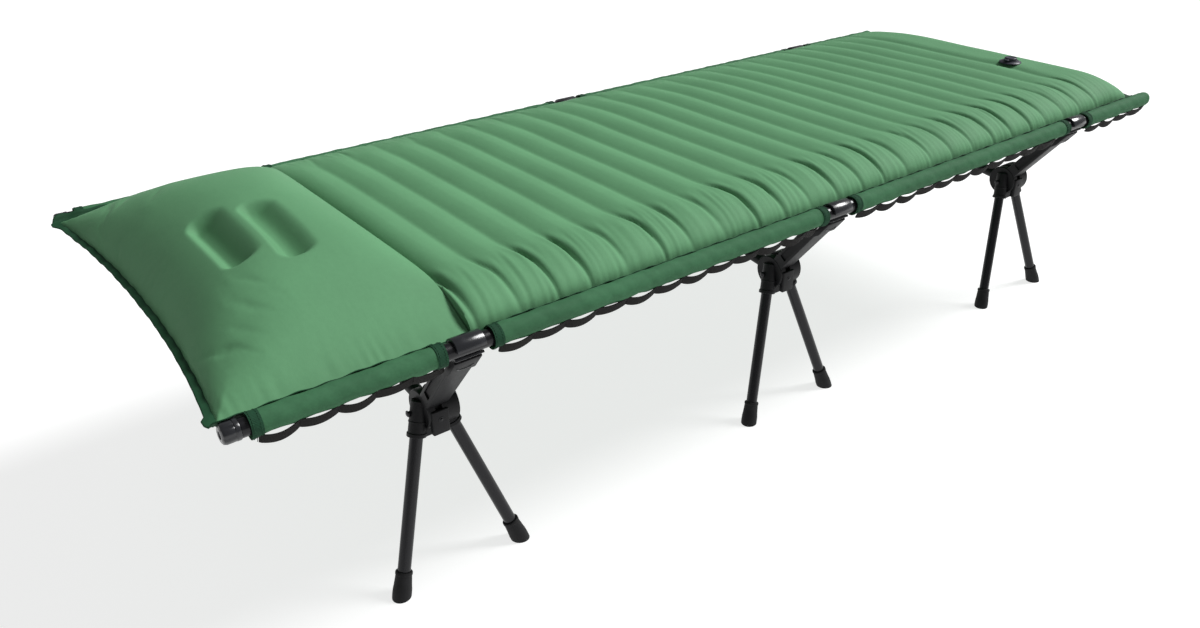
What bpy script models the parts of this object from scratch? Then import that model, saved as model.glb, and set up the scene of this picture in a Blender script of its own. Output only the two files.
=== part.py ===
"""Take-apart folding cot: two side rails in a sleeved cover, three folding leg sets, an air bed.

X runs along the cot from the head end (-X) to the foot end (+X), the near side is -Y, and Z is up.
The origin is on the floor under the middle of the cot. Lengths are in metres.
"""

import math

import bmesh
import bpy
from mathutils import Matrix, Vector

# Driving dimensions
LENGTH = 1.90
RAIL_SPAN = 0.70
RAIL_HEIGHT = 0.383
STATIONS = (-0.657, 0.003, 0.680)
SIDES = {"near": -1, "far": 1}
GAP = 0.0003

# Side rails, three sections joined by spigots
RAIL_R = 0.011
RAIL_BORE_R = 0.0095
SPIGOT_R = 0.0092
SPIGOT_BORE_R = 0.0080
SPIGOT_LENGTH = 0.050
SPIGOT_HELD = 0.030
RAIL_SECTIONS = 3
CAP_LENGTH = 0.020
CAP_R = 0.0122
CAP_PLUG = 0.018
CAP_CHAMFER = 0.003
END_PLUG = 0.004
POCKET_WALL = 0.002
RAIL_START = -LENGTH / 2 + CAP_LENGTH
RAIL_END = LENGTH / 2 - POCKET_WALL - GAP
SECTION_LENGTH = (RAIL_END - RAIL_START) / RAIL_SECTIONS

# Cover: one sheet with a sleeve along each side
SLEEVE_INNER_R = 0.0114
SLEEVE_OUTER_R = 0.0126
SLEEVE_START = RAIL_START + 0.010
SHEET_THICKNESS = 0.0014
WINDOW_HALF = 0.033
WINDOW_DEPTH = 0.020
WINDOW_CUT = 0.03

# Leg sets, measured inward from the rail's centre line and up from the floor
PIVOT_IN = 0.112
PIVOT_HEIGHT = 0.240
CLIP_OUTER_R = 0.015
CLIP_INNER_R = 0.0114
CLIP_LENGTH = 0.040
CLIP_LIP_ANGLE = 175
ARM_DEPTH = 0.022
ARM_WIDTH = 0.032
CLIP_OVERLAP = 0.001
CLIP_OPEN_ANGLE = 70
TONGUE_WIDTH = 0.010
LUG_R = 0.028
LUG_WIDTH = 0.032
BOW_R = 0.008
BOW_RISE_ANGLE = math.radians(8)
STUB_R = 0.0100
STUB_INNER = 0.006
STUB_REACH = 0.062
BOW_START = 0.036
BOW_STRAIGHT = 0.03
BOW_POINTS = 11
PIN_R = 0.003
PIN_HEAD_R = 0.0045
PIN_HALF = 0.0318
PIN_HEAD = 0.0025

# Legs: each pair meets at a point above the pivot
LEGS_MEET_IN = 0.121
LEGS_MEET_HEIGHT = 0.292
FOOT_IN = 0.058
FOOT_ALONG = 0.096
LEG_R = 0.009
LEG_BORE_R = 0.0078
LEG_TOP = 0.230
LEG_BOTTOM = 0.014
SOCKET_R = 0.012
SOCKET_MOUTH = 0.208
SOCKET_TOP = 0.254
WEB_HALF = 0.017
WEB_OUTER = -0.013
WEB_INNER = 0.0015
WEB_LOW = -0.037
WEB_TOP = -0.022
FOOT_R = 0.0130
FOOT_TOP_R = 0.0115
FOOT_HEIGHT = 0.034
FOOT_BELOW = 0.010
FOOT_WIDEST = 0.45

# Air mattress and pillow
BED_HALF_WIDTH = 0.334
BED_BOTTOM = RAIL_HEIGHT + SHEET_THICKNESS / 2 + 0.0004
PILLOW_START = -0.942
PILLOW_END = -0.641
PILLOW_CROWN = 0.112
PILLOW_EDGE = 0.012
PILLOW_HOLLOW = 0.028
PILLOW_CELLS = (8, 12, 1)
MATTRESS_END = 0.928
MATTRESS_THICKNESS = 0.052
CHANNELS = 24
CHANNELS_END = 0.780
CHANNEL_DIP = 0.012
FOOT_SLOPE = 0.06
VALVE_X = 0.80
VALVE_Y = -0.13
VALVE_R = 0.022
VALVE_HEIGHT = 0.006
VALVE_TOP_R = 0.014
LID_R = 0.0125
LID_HALF = 0.0011
LID_TOP = 0.0034
VALVE_HINGE_OUT = 0.0165

# Webbing below each sleeve
WEBBING_OUT = 0.0068
WEBBING_THICKNESS = 0.0014
WEBBING_TOP = 0.0142
WEBBING_LOOP = 0.050
WEBBING_DROP = 0.011
WEBBING_DIP = 0.0018
WEBBING_EDGE = 0.005
WEBBING_DIP_HALF = 0.025

# Sides of the round shapes
ROUND_STEPS = 16
LEG_STEPS = 12
LUG_STEPS = 20
CLIP_STEPS = 14
PIN_STEPS = 8


def clear_scene():
    """Remove every object, so that the script starts from nothing."""
    for obj in list(bpy.data.objects):
        bpy.data.objects.remove(obj)


def make_collection(name):
    """Add a collection to the scene."""
    collection = bpy.data.collections.new(name)
    bpy.context.scene.collection.children.link(collection)
    return collection


def make_material(name, colour, roughness, metallic=0.0):
    """A plain Principled material."""
    material = bpy.data.materials.new(name)
    material.use_nodes = True
    shader = material.node_tree.nodes["Principled BSDF"]
    shader.inputs["Base Color"].default_value = (*colour, 1.0)
    shader.inputs["Roughness"].default_value = roughness
    shader.inputs["Metallic"].default_value = metallic
    material.diffuse_color = (*colour, 1.0)
    return material


class Cot:
    """Holds the collections and materials, and adds objects to them."""

    def __init__(self):
        """Make the collections and the materials."""
        self.parts = make_collection("folding_cot")
        self.cutters = make_collection("cutters")
        self.aluminium = make_material("black_anodised", (0.017, 0.017, 0.020), 0.35, 0.8)
        self.nylon = make_material("black_nylon", (0.020, 0.020, 0.022), 0.55)
        self.rubber = make_material("black_rubber", (0.022, 0.022, 0.024), 0.8)
        self.steel = make_material("steel", (0.55, 0.55, 0.56), 0.3, 1.0)
        self.cloth = make_material("green_cover_cloth", (0.050, 0.145, 0.070), 0.8)
        self.air_cloth = make_material("green_mattress_cloth", (0.125, 0.290, 0.150), 0.6)
        self.webbing = make_material("black_webbing", (0.020, 0.020, 0.020), 0.85)
        self.valve = make_material("grey_valve", (0.060, 0.065, 0.068), 0.5)

    def add(self, name, mesh, material, parent=None, cutter=False):
        """Add one object, as a part or as a hidden cutter."""
        obj = bpy.data.objects.new(name, mesh)
        (self.cutters if cutter else self.parts).objects.link(obj)
        if cutter:
            obj.hide_render = True
            obj.display_type = "WIRE"
        elif not mesh.materials:
            mesh.materials.append(material)
        obj.parent = parent
        return obj

    def empty(self, name, location, turned=False):
        """An empty on a joint's axis; turned faces its Y to -Y."""
        obj = bpy.data.objects.new(name, None)
        self.parts.objects.link(obj)
        obj.location = location
        obj.rotation_euler.z = math.pi if turned else 0.0
        return obj


def finished(bm, name):
    """Turn a bmesh into a mesh with smooth sides and sharp edges."""
    bmesh.ops.recalc_face_normals(bm, faces=bm.faces)
    mesh = bpy.data.meshes.new(name)
    bm.to_mesh(mesh)
    bm.free()
    mesh.shade_smooth()
    mesh.set_sharp_from_angle(angle=math.radians(35))
    return mesh


def along(start, end):
    """Matrix that takes +Z from the origin to the line from start to end."""
    start = Vector(start)
    direction = Vector(end) - start
    return Matrix.Translation(start) @ direction.to_track_quat("Z", "Y").to_matrix().to_4x4()


def rod_mesh(name, start, end, radius, steps=ROUND_STEPS):
    """A solid cylinder between two points."""
    bm = bmesh.new()
    length = (Vector(end) - Vector(start)).length
    place = along(start, end) @ Matrix.Translation((0, 0, length / 2))
    bmesh.ops.create_cone(bm, cap_ends=True, segments=steps, radius1=radius, radius2=radius,
                          depth=length, matrix=place)
    return finished(bm, name)


def box_mesh(name, low, high):
    """A box between two corners."""
    bm = bmesh.new()
    middle = (Vector(low) + Vector(high)) / 2
    size = Vector(high) - Vector(low)
    place = Matrix.Translation(middle) @ Matrix.Diagonal((*size, 1.0))
    bmesh.ops.create_cube(bm, size=1.0, matrix=place)
    return finished(bm, name)


def turned_mesh(name, profile, steps, place):
    """Turn a closed (radius, height) profile about +Z with a Screw modifier, and place it."""
    mesh = bpy.data.meshes.new(name)
    points = [(radius, 0.0, height) for radius, height in profile]
    count = len(points)
    closed = profile[0][0] > 0 and profile[-1][0] > 0
    edges = [(i, (i + 1) % count) for i in range(count if closed else count - 1)]
    mesh.from_pydata(points, edges, [])
    obj = bpy.data.objects.new(name, mesh)
    bpy.context.scene.collection.objects.link(obj)
    screw = obj.modifiers.new("turn", "SCREW")
    screw.steps = screw.render_steps = steps
    screw.use_merge_vertices = True
    screw.merge_threshold = 0.00001
    result = baked(obj, name)
    result.transform(place)
    return result


def outline_mesh(name, outline, half_width, place):
    """A closed flat outline, with any holes, as a 2D curve extruded both ways."""
    curve = bpy.data.curves.new(name, "CURVE")
    curve.dimensions = "2D"
    curve.fill_mode = "BOTH"
    curve.extrude = half_width
    for loop in outline:
        spline = curve.splines.new("POLY")
        spline.points.add(len(loop) - 1)
        for point, (x, y) in zip(spline.points, loop):
            point.co = (x, y, 0.0, 1.0)
        spline.use_cyclic_u = True
    obj = bpy.data.objects.new(name, curve)
    bpy.context.scene.collection.objects.link(obj)
    mesh = baked(obj, name)
    mesh.transform(place)
    return mesh


def baked(obj, name):
    """The evaluated mesh of an object, welded and with its normals outward; the object goes."""
    bpy.context.view_layer.update()
    graph = bpy.context.evaluated_depsgraph_get()
    mesh = bpy.data.meshes.new_from_object(obj.evaluated_get(graph))
    bpy.data.objects.remove(obj)
    bm = bmesh.new()
    bm.from_mesh(mesh)
    bmesh.ops.remove_doubles(bm, verts=bm.verts, dist=0.000005)
    return finished(bm, name)


def combined(cot, name, first, joined=(), cut=()):
    """Union and difference of meshes with exact Booleans, returned as one mesh."""
    obj = cot.add(f"{name}_first", first, None, cutter=True)
    helpers = []
    for operation, meshes in (("UNION", joined), ("DIFFERENCE", cut)):
        for number, mesh in enumerate(meshes):
            helper = cot.add(f"{name}_{operation.lower()}_{number}", mesh, None, cutter=True)
            helpers.append(helper)
            modifier = obj.modifiers.new(helper.name, "BOOLEAN")
            modifier.operation = operation
            modifier.object = helper
    result = baked(obj, name)
    for helper in helpers:
        bpy.data.objects.remove(helper)
    return result


def arc(centre, radius, start, end, steps):
    """Points of an arc in degrees, both ends included."""
    angles = (math.radians(start + (end - start) * i / steps) for i in range(steps + 1))
    return [(centre[0] + radius * math.cos(a), centre[1] + radius * math.sin(a)) for a in angles]


def circle(centre, radius, steps):
    """Points round a circle."""
    return arc(centre, radius, 0, 360, steps)[:-1]


# Takes an outline's X, Y and Z to the cot's Y, Z and X
ACROSS = Matrix(((0, 0, 1, 0), (1, 0, 0, 0), (0, 1, 0, 0), (0, 0, 0, 1)))
# Lays a turned shape's axis along the cot
TO_X = along((0, 0, 0), (1, 0, 0))


def rail_profile(section):
    """Hollow tube with a spigot at its foot-side end; the last section is closed instead."""
    length = SECTION_LENGTH - GAP
    if section == RAIL_SECTIONS - 1:
        plug = length - END_PLUG
        return [(0, length), (RAIL_R, length), (RAIL_R, 0), (RAIL_BORE_R, 0),
                (RAIL_BORE_R, plug), (0, plug)]
    step = length - SPIGOT_HELD
    tip = length + SPIGOT_LENGTH
    return [(RAIL_R, length), (RAIL_R, 0), (RAIL_BORE_R, 0), (RAIL_BORE_R, step),
            (SPIGOT_BORE_R, step), (SPIGOT_BORE_R, tip), (SPIGOT_R, tip), (SPIGOT_R, length)]


def add_rails(cot):
    """Three sections along each side."""
    for section in range(RAIL_SECTIONS):
        mesh = turned_mesh("rail", rail_profile(section), ROUND_STEPS, TO_X)
        for side, sign in SIDES.items():
            rail = cot.add(f"rail_{side}_{section + 1}", mesh, cot.aluminium)
            rail.location = (RAIL_START + section * SECTION_LENGTH, sign * RAIL_SPAN / 2, RAIL_HEIGHT)


def add_end_caps(cot):
    """A moulded plug in the head end of each rail."""
    profile = [(0, CAP_PLUG), (SPIGOT_R, CAP_PLUG), (SPIGOT_R, -GAP), (CAP_R, -GAP),
               (CAP_R, CAP_CHAMFER - CAP_LENGTH), (CAP_R - CAP_CHAMFER, -CAP_LENGTH), (0, -CAP_LENGTH)]
    mesh = turned_mesh("end_cap", profile, ROUND_STEPS, TO_X)
    for side, sign in SIDES.items():
        cap = cot.add(f"end_cap_{side}", mesh, cot.nylon)
        cap.location = (RAIL_START, sign * RAIL_SPAN / 2, RAIL_HEIGHT)


def cover_outline():
    """Cross-section: a thin sheet between two sleeve rings, as one outline with two holes."""
    half = SHEET_THICKNESS / 2
    side = RAIL_SPAN / 2
    edge = math.degrees(math.asin(half / SLEEVE_OUTER_R))
    right = arc((side, 0), SLEEVE_OUTER_R, -180 + edge, 180 - edge, ROUND_STEPS)
    left = arc((-side, 0), SLEEVE_OUTER_R, edge, 360 - edge, ROUND_STEPS)
    holes = [circle((side, 0), SLEEVE_INNER_R, ROUND_STEPS), circle((-side, 0), SLEEVE_INNER_R, ROUND_STEPS)]
    return [right + left] + holes


def add_cover(cot):
    """The sheet and its sleeves, closed at the foot end and cut away at each clip."""
    start, end = SLEEVE_START, LENGTH / 2
    place = Matrix.Translation(((start + end) / 2, 0, RAIL_HEIGHT)) @ ACROSS
    body = outline_mesh("cover_body", cover_outline(), (end - start) / 2, place)
    ends, windows = [], []
    for sign in SIDES.values():
        y = sign * RAIL_SPAN / 2
        ends.append(rod_mesh("pocket_end", (end - POCKET_WALL, y, RAIL_HEIGHT), (end, y, RAIL_HEIGHT),
                             (SLEEVE_INNER_R + SLEEVE_OUTER_R) / 2))
        for station in STATIONS:
            low_y, high_y = sorted((y - sign * WINDOW_DEPTH, y + sign * WINDOW_CUT))
            windows.append(box_mesh("window", (station - WINDOW_HALF, low_y, RAIL_HEIGHT - WINDOW_CUT),
                                    (station + WINDOW_HALF, high_y, RAIL_HEIGHT + WINDOW_CUT)))
    cot.add("cover", combined(cot, "cover", body, ends, windows), cot.cloth)


def polar(angle, radius):
    """A point of the leg set's local YZ plane, from the pivot."""
    return (0.0, radius * math.cos(angle), radius * math.sin(angle))


def arm_mesh(cot):
    """Moulded elbow: rail clip, arm, tongue and bow socket, with its origin on the pivot."""
    rail = Vector((0.0, -PIVOT_IN, RAIL_HEIGHT - PIVOT_HEIGHT))
    arm_angle = math.atan2(rail.z, rail.y)
    down = math.degrees(arm_angle) - 180
    outer = arc((rail.y, rail.z), CLIP_OUTER_R, CLIP_LIP_ANGLE, down - CLIP_OPEN_ANGLE, CLIP_STEPS)
    inner = arc((rail.y, rail.z), CLIP_INNER_R, down - CLIP_OPEN_ANGLE, CLIP_LIP_ANGLE, CLIP_STEPS)
    clip = outline_mesh("clip", [outer + inner], CLIP_LENGTH / 2, ACROSS)
    half = ARM_DEPTH / 2
    run = rail.length - CLIP_INNER_R - CLIP_OVERLAP
    bar = box_mesh("bar", (-ARM_WIDTH / 2, 0, -half), (ARM_WIDTH / 2, run, half))
    bar.transform(Matrix.Rotation(arm_angle, 4, "X"))
    inside = TONGUE_WIDTH / 2
    disc = rod_mesh("disc", (-2 * inside, 0, 0), (2 * inside, 0, 0), LUG_R / 2)
    stub = rod_mesh("stub", polar(BOW_RISE_ANGLE, STUB_INNER), polar(BOW_RISE_ANGLE, STUB_REACH),
                    STUB_R, LEG_STEPS)
    cheeks = [rod_mesh("cheek", (sign * inside, 0, 0), (sign * 0.03, 0, 0), LUG_R + 2 * GAP, LUG_STEPS)
              for sign in (-1, 1)]
    bore = rod_mesh("bow_bore", polar(BOW_RISE_ANGLE, BOW_START - 0.001),
                    polar(BOW_RISE_ANGLE, STUB_REACH + 0.01), BOW_R + GAP, LEG_STEPS)
    pin = rod_mesh("pin_hole", (-0.02, 0, 0), (0.02, 0, 0), PIN_R + GAP, PIN_STEPS)
    return combined(cot, "arm", bar, [clip, disc, stub], cheeks + [bore, pin])


def leg_point(sign, height):
    """Point of a leg's centre line at a height, from the pivot; sign is -1 for the head-side leg."""
    share = (LEGS_MEET_HEIGHT - height) / LEGS_MEET_HEIGHT
    return Vector((sign * FOOT_ALONG * share,
                   LEGS_MEET_IN + (FOOT_IN - LEGS_MEET_IN) * share - PIVOT_IN,
                   height - PIVOT_HEIGHT))


def hub_mesh(cot):
    """Leg hub: two lugs about the pivot, two leg sockets, and a web below that joins them."""
    disc = rod_mesh("lugs", (-LUG_WIDTH / 2, 0, 0), (LUG_WIDTH / 2, 0, 0), LUG_R, LUG_STEPS)
    sockets = [rod_mesh("socket", leg_point(sign, SOCKET_MOUTH), leg_point(sign, SOCKET_TOP),
                        SOCKET_R, LEG_STEPS) for sign in (-1, 1)]
    web = box_mesh("web", (-WEB_HALF, WEB_OUTER, WEB_LOW), (WEB_HALF, WEB_INNER, WEB_TOP))
    inside = TONGUE_WIDTH / 2 + GAP
    slot = rod_mesh("slot", (-inside, 0, 0), (inside, 0, 0), LUG_R + 3 * GAP, LUG_STEPS)
    bores = [rod_mesh("leg_bore", leg_point(sign, SOCKET_MOUTH - 0.02), leg_point(sign, LEG_TOP + 0.0005),
                      LEG_R + GAP, LEG_STEPS) for sign in (-1, 1)]
    pin = rod_mesh("pin_hole", (-0.05, 0, 0), (0.05, 0, 0), PIN_R + GAP, PIN_STEPS)
    return combined(cot, "hub", disc, sockets + [web], [slot, pin] + bores)


def pin_mesh():
    """Hinge pin with a head at each end."""
    end = PIN_HALF + PIN_HEAD
    profile = [(0, end), (PIN_HEAD_R, end), (PIN_HEAD_R, PIN_HALF), (PIN_R, PIN_HALF),
               (PIN_R, -PIN_HALF), (PIN_HEAD_R, -PIN_HALF), (PIN_HEAD_R, -end), (0, -end)]
    return turned_mesh("hub_pin", profile, PIN_STEPS, TO_X)


def leg_mesh(sign):
    """Hollow leg tube between its foot and its socket."""
    bottom, top = leg_point(sign, LEG_BOTTOM), leg_point(sign, LEG_TOP)
    length = (top - bottom).length
    profile = [(LEG_R, length), (LEG_R, 0), (LEG_BORE_R, 0), (LEG_BORE_R, length)]
    return turned_mesh("leg", profile, LEG_STEPS, along(bottom, top))


def foot_mesh(cot, sign):
    """Rubber foot round the leg's end, cut level with the floor."""
    bottom, rim = leg_point(sign, -FOOT_BELOW), leg_point(sign, FOOT_HEIGHT)
    length = (rim - bottom).length
    seat = (leg_point(sign, LEG_BOTTOM) - bottom).length - GAP
    bore = LEG_R + GAP
    profile = [(0, seat), (bore, seat), (bore, length), (FOOT_TOP_R, length), (FOOT_R, length * FOOT_WIDEST),
               (FOOT_R, 0), (0, 0)]
    cup = turned_mesh("foot", profile, LEG_STEPS, along(bottom, rim))
    floor = box_mesh("floor", (-0.2, -0.2, -PIVOT_HEIGHT - 0.1), (0.2, 0.2, -PIVOT_HEIGHT))
    return combined(cot, "foot", cup, cut=[floor])


def add_bow(cot, number, station):
    """Shallow arched tube between the near and the far arm of a leg set."""
    first = Vector(polar(BOW_RISE_ANGLE, BOW_START))
    start_y = -RAIL_SPAN / 2 + PIVOT_IN + first.y
    start_z = PIVOT_HEIGHT + first.z
    curve = bpy.data.curves.new(f"cross_bow_{number}", "CURVE")
    curve.dimensions = "3D"
    curve.bevel_depth = BOW_R
    curve.bevel_resolution = 2
    curve.use_fill_caps = True
    inner = -start_y - BOW_STRAIGHT
    slope = math.tan(BOW_RISE_ANGLE)
    ys = [-inner + 2 * inner * i / (BOW_POINTS - 1) for i in range(BOW_POINTS)]
    ys = [start_y] + ys + [-start_y]
    spline = curve.splines.new("POLY")
    spline.points.add(len(ys) - 1)
    for point, y in zip(spline.points, ys):
        reach = min(abs(y), inner)
        z = start_z + slope * BOW_STRAIGHT + slope * (inner - reach * reach / inner) / 2
        if abs(y) > inner:
            z = start_z + slope * (-start_y - abs(y))
        point.co = (0.0, y, z, 1.0)
    bow = bpy.data.objects.new(f"cross_bow_{number}", curve)
    cot.parts.objects.link(bow)
    curve.materials.append(cot.aluminium)
    bow.location.x = station


def add_leg_sets(cot):
    """At each station a bow, and on each side an arm and the folding hub with its two legs."""
    arm, hub, pin = arm_mesh(cot), hub_mesh(cot), pin_mesh()
    legs = {sign: leg_mesh(sign) for sign in (-1, 1)}
    feet = {sign: foot_mesh(cot, sign) for sign in (-1, 1)}
    for number, station in enumerate(STATIONS, 1):
        add_bow(cot, number, station)
        for side, sign in SIDES.items():
            far = sign > 0
            where = (station, sign * (RAIL_SPAN / 2 - PIVOT_IN), PIVOT_HEIGHT)
            fixed = cot.empty(f"arm_axis_{side}_{number}", where, far)
            moving = cot.empty(f"hub_axis_{side}_{number}", where, far)
            cot.add(f"arm_{side}_{number}", arm, cot.nylon, fixed)
            cot.add(f"hub_pin_{side}_{number}", pin, cot.steel, moving)
            cot.add(f"leg_hub_{side}_{number}", hub, cot.nylon, moving)
            for end, along_x in (("head", -1), ("foot", 1)):
                local = -along_x if far else along_x
                cot.add(f"leg_{side}_{number}_{end}", legs[local], cot.aluminium, moving)
                cot.add(f"rubber_foot_{side}_{number}_{end}", feet[local], cot.rubber, moving)


def block_mesh(name, low, high, cuts, shape):
    """A box cut into a grid, whose points shape() moves."""
    bm = bmesh.new()
    bmesh.ops.create_cube(bm, size=1.0)
    for axis, count in enumerate(cuts):
        for i in range(1, count):
            point = Vector((0, 0, 0))
            point[axis] = -0.5 + i / count
            normal = Vector((0, 0, 0))
            normal[axis] = 1.0
            everything = bm.verts[:] + bm.edges[:] + bm.faces[:]
            bmesh.ops.bisect_plane(bm, geom=everything, plane_co=point, plane_no=normal)
    for vert in bm.verts:
        share = vert.co + Vector((0.5, 0.5, 0.5))
        vert.co = shape(Vector([low[i] + (high[i] - low[i]) * share[i] for i in range(3)]), share)
    return finished(bm, name)


def pillow_shape(point, share):
    """Thin at its edges, crowned in the middle, with a concave head edge."""
    across = abs(2 * share.y - 1)
    lengthwise = abs(2 * share.x - 1)
    if share.x < 0.5:
        point.x += PILLOW_HOLLOW * (1 - across ** 2) * (1 - 2 * share.x)
    if share.z > 0.5:
        crown = (1 - across ** 2.6) * (1 - lengthwise ** 2.4)
        point.z = BED_BOTTOM + PILLOW_EDGE + (PILLOW_CROWN - PILLOW_EDGE) * crown
    return point


def mattress_shape(point, share):
    """Ridges over the channels, lower at the sides and at the foot end."""
    if share.z > 0.5:
        across = abs(2 * share.y - 1)
        from_foot = (MATTRESS_END - point.x) / FOOT_SLOPE
        end = min(1.0, max(0.0, from_foot)) ** 0.5
        height = MATTRESS_THICKNESS * (1 - 0.75 * across ** 8) * (0.3 + 0.7 * end)
        ridge = (point.x - PILLOW_END) / (CHANNELS_END - PILLOW_END) * CHANNELS
        if ridge < CHANNELS - 0.25 and round(ridge * 2) % 2 == 0:
            height -= CHANNEL_DIP
        point.z = BED_BOTTOM + height
    return point


def add_bed(cot):
    """Air mattress and air pillow, as plain solids of the right size."""
    top = BED_BOTTOM + MATTRESS_THICKNESS
    pitch = (CHANNELS_END - PILLOW_END) / CHANNELS
    low_x = PILLOW_END + 0.001
    cells = round((MATTRESS_END - low_x) / (pitch / 2))
    mattress = block_mesh("air_mattress", (low_x, -BED_HALF_WIDTH, BED_BOTTOM),
                          (MATTRESS_END, BED_HALF_WIDTH, top), (cells, 4, 1), mattress_shape)
    cot.add("air_mattress", mattress, cot.air_cloth)
    pillow = block_mesh("air_pillow", (PILLOW_START, -BED_HALF_WIDTH, BED_BOTTOM),
                        (PILLOW_END, BED_HALF_WIDTH, BED_BOTTOM + PILLOW_CROWN), PILLOW_CELLS, pillow_shape)
    cot.add("air_pillow", pillow, cot.air_cloth)


def add_valve(cot):
    """Round valve body on the foot-end panel, and its flip cap."""
    seat = BED_BOTTOM + MATTRESS_THICKNESS + GAP
    body = [(0, VALVE_HEIGHT), (VALVE_TOP_R, VALVE_HEIGHT), (VALVE_R, VALVE_HEIGHT / 2), (VALVE_R, 0), (0, 0)]
    base = cot.add("valve_body", turned_mesh("valve_body", body, ROUND_STEPS, Matrix()), cot.valve)
    base.location = (VALVE_X, VALVE_Y, seat)
    half, chamfer = LID_HALF, 0.0015
    lid = [(0, LID_TOP), (LID_R - chamfer, LID_TOP), (LID_R, LID_TOP - chamfer), (LID_R, -half), (0, -half)]
    disc = turned_mesh("cap_disc", lid, ROUND_STEPS, Matrix.Translation((-VALVE_HINGE_OUT, 0, 0)))
    strap = box_mesh("cap_strap", (-0.0080, -0.004, -half), (0.0012, 0.004, half))
    tab = box_mesh("cap_tab", (-0.0360, -0.005, -half), (-0.0260, 0.005, half))
    cap = cot.add("valve_cap", combined(cot, "valve_cap_mesh", disc, [strap, tab]), cot.valve)
    cap.location = (VALVE_X + VALVE_HINGE_OUT, VALVE_Y, seat + VALVE_HEIGHT + GAP + half)


def add_webbing(cot):
    """One scalloped strip below each sleeve's outer edge; its upper edge dips to pass below each clip."""
    start, end = SLEEVE_START + 0.008, LENGTH / 2 - 0.010
    count = round((end - start) / WEBBING_LOOP) * 3
    lower = [(start + (end - start) * i / count,
              RAIL_HEIGHT - WEBBING_TOP - WEBBING_EDGE - WEBBING_DROP * abs(math.sin(math.pi * i / 3)))
             for i in range(count + 1)]
    high, low = RAIL_HEIGHT - WEBBING_TOP, RAIL_HEIGHT - WEBBING_TOP - WEBBING_DIP
    upper = [(end, high)]
    for station in reversed(STATIONS):
        upper += [(station + WINDOW_HALF, high), (station + WEBBING_DIP_HALF, low),
                  (station - WEBBING_DIP_HALF, low), (station - WINDOW_HALF, high)]
    upper.append((start, high))
    upright = Matrix.Rotation(math.pi / 2, 4, "X")
    mesh = outline_mesh("webbing", [lower + upper], WEBBING_THICKNESS / 2, upright)
    for side, sign in SIDES.items():
        strip = cot.add(f"webbing_{side}", mesh, cot.webbing)
        strip.location.y = sign * (RAIL_SPAN / 2 + WEBBING_OUT)


def main():
    """Build the cot."""
    clear_scene()
    cot = Cot()
    add_rails(cot)
    add_end_caps(cot)
    add_cover(cot)
    add_leg_sets(cot)
    add_bed(cot)
    add_valve(cot)
    add_webbing(cot)


main()
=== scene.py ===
"""Folding cot with an air mattress and pillow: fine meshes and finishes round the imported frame.

X runs from the head end (-X) to the foot end (+X), the near side is -Y and Z is up. Metres throughout.
"""

import logging
import math
from collections.abc import Sequence
from dataclasses import dataclass
from enum import Enum

import bmesh
import bpy
import numpy as np
from mathutils import Matrix, Vector


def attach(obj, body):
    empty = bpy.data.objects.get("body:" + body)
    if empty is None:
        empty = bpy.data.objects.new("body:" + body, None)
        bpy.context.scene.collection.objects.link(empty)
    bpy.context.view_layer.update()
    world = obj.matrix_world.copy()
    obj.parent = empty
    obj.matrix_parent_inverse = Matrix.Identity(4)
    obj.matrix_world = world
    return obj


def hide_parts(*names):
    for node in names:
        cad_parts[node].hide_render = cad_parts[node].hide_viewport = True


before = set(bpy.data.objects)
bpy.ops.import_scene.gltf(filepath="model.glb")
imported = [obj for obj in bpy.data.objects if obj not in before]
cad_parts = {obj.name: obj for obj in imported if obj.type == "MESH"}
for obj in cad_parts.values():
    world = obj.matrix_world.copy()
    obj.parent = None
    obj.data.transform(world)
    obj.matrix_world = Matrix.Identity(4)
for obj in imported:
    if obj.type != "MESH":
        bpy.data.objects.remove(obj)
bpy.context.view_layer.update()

LOG = logging.getLogger("folding_cot")
Colour = tuple[float, float, float]
Point = tuple[float, float, float]
Outline = list[tuple[float, float]]
Mesh = bpy.types.Mesh
Material = bpy.types.Material
Socket = bpy.types.NodeSocket

STATIONS = (-0.657, 0.003, 0.680)
RAIL_Y = 0.35
RAIL_Z = 0.383
RAIL_RADIUS = 0.011
SLEEVE_RADIUS = 0.0126
SLEEVE_START = -0.92
COT_END = 0.95
POCKET_END = 0.004
WINDOW_HALF = 0.033
WINDOW_EDGE = 0.330
PANEL_EDGE = 0.3355
BED_BOTTOM = 0.3841
BED_HALF_WIDTH = 0.334
BED_SPLIT = -0.6405
PIVOT_IN = 0.112
PIVOT_Z = 0.240
VALVE_X = 0.80
VALVE_Y = -0.13
ROUND = 40
SHARP_DEGREES = 35.0
WELD_WITHIN = 0.000004


class Side(Enum):
    """The two long sides of the cot, as the sign of Y."""

    NEAR = -1
    FAR = 1

    @property
    def label(self) -> str:
        """The side's word in piece names."""
        return self.name.lower()


class End(Enum):
    """The two ends of the cot, as the sign of X."""

    HEAD = -1
    FOOT = 1

    @property
    def label(self) -> str:
        """The end's word in piece names."""
        return self.name.lower()


class Slot(Enum):
    """The record's material slots."""

    TUBE = "anodised_tube"
    NYLON = "black_nylon"
    RUBBER = "rubber"
    STEEL = "steel"
    COVER = "cover_cloth"
    MATTRESS = "mattress_cloth"
    WEBBING = "webbing"
    VALVE = "valve_plastic"


class Coordinates(Enum):
    """Where a pattern takes its place from."""

    OBJECT = "Object"
    UV = "UV"


# ---------------------------------------------------------------- shader maths


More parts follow.
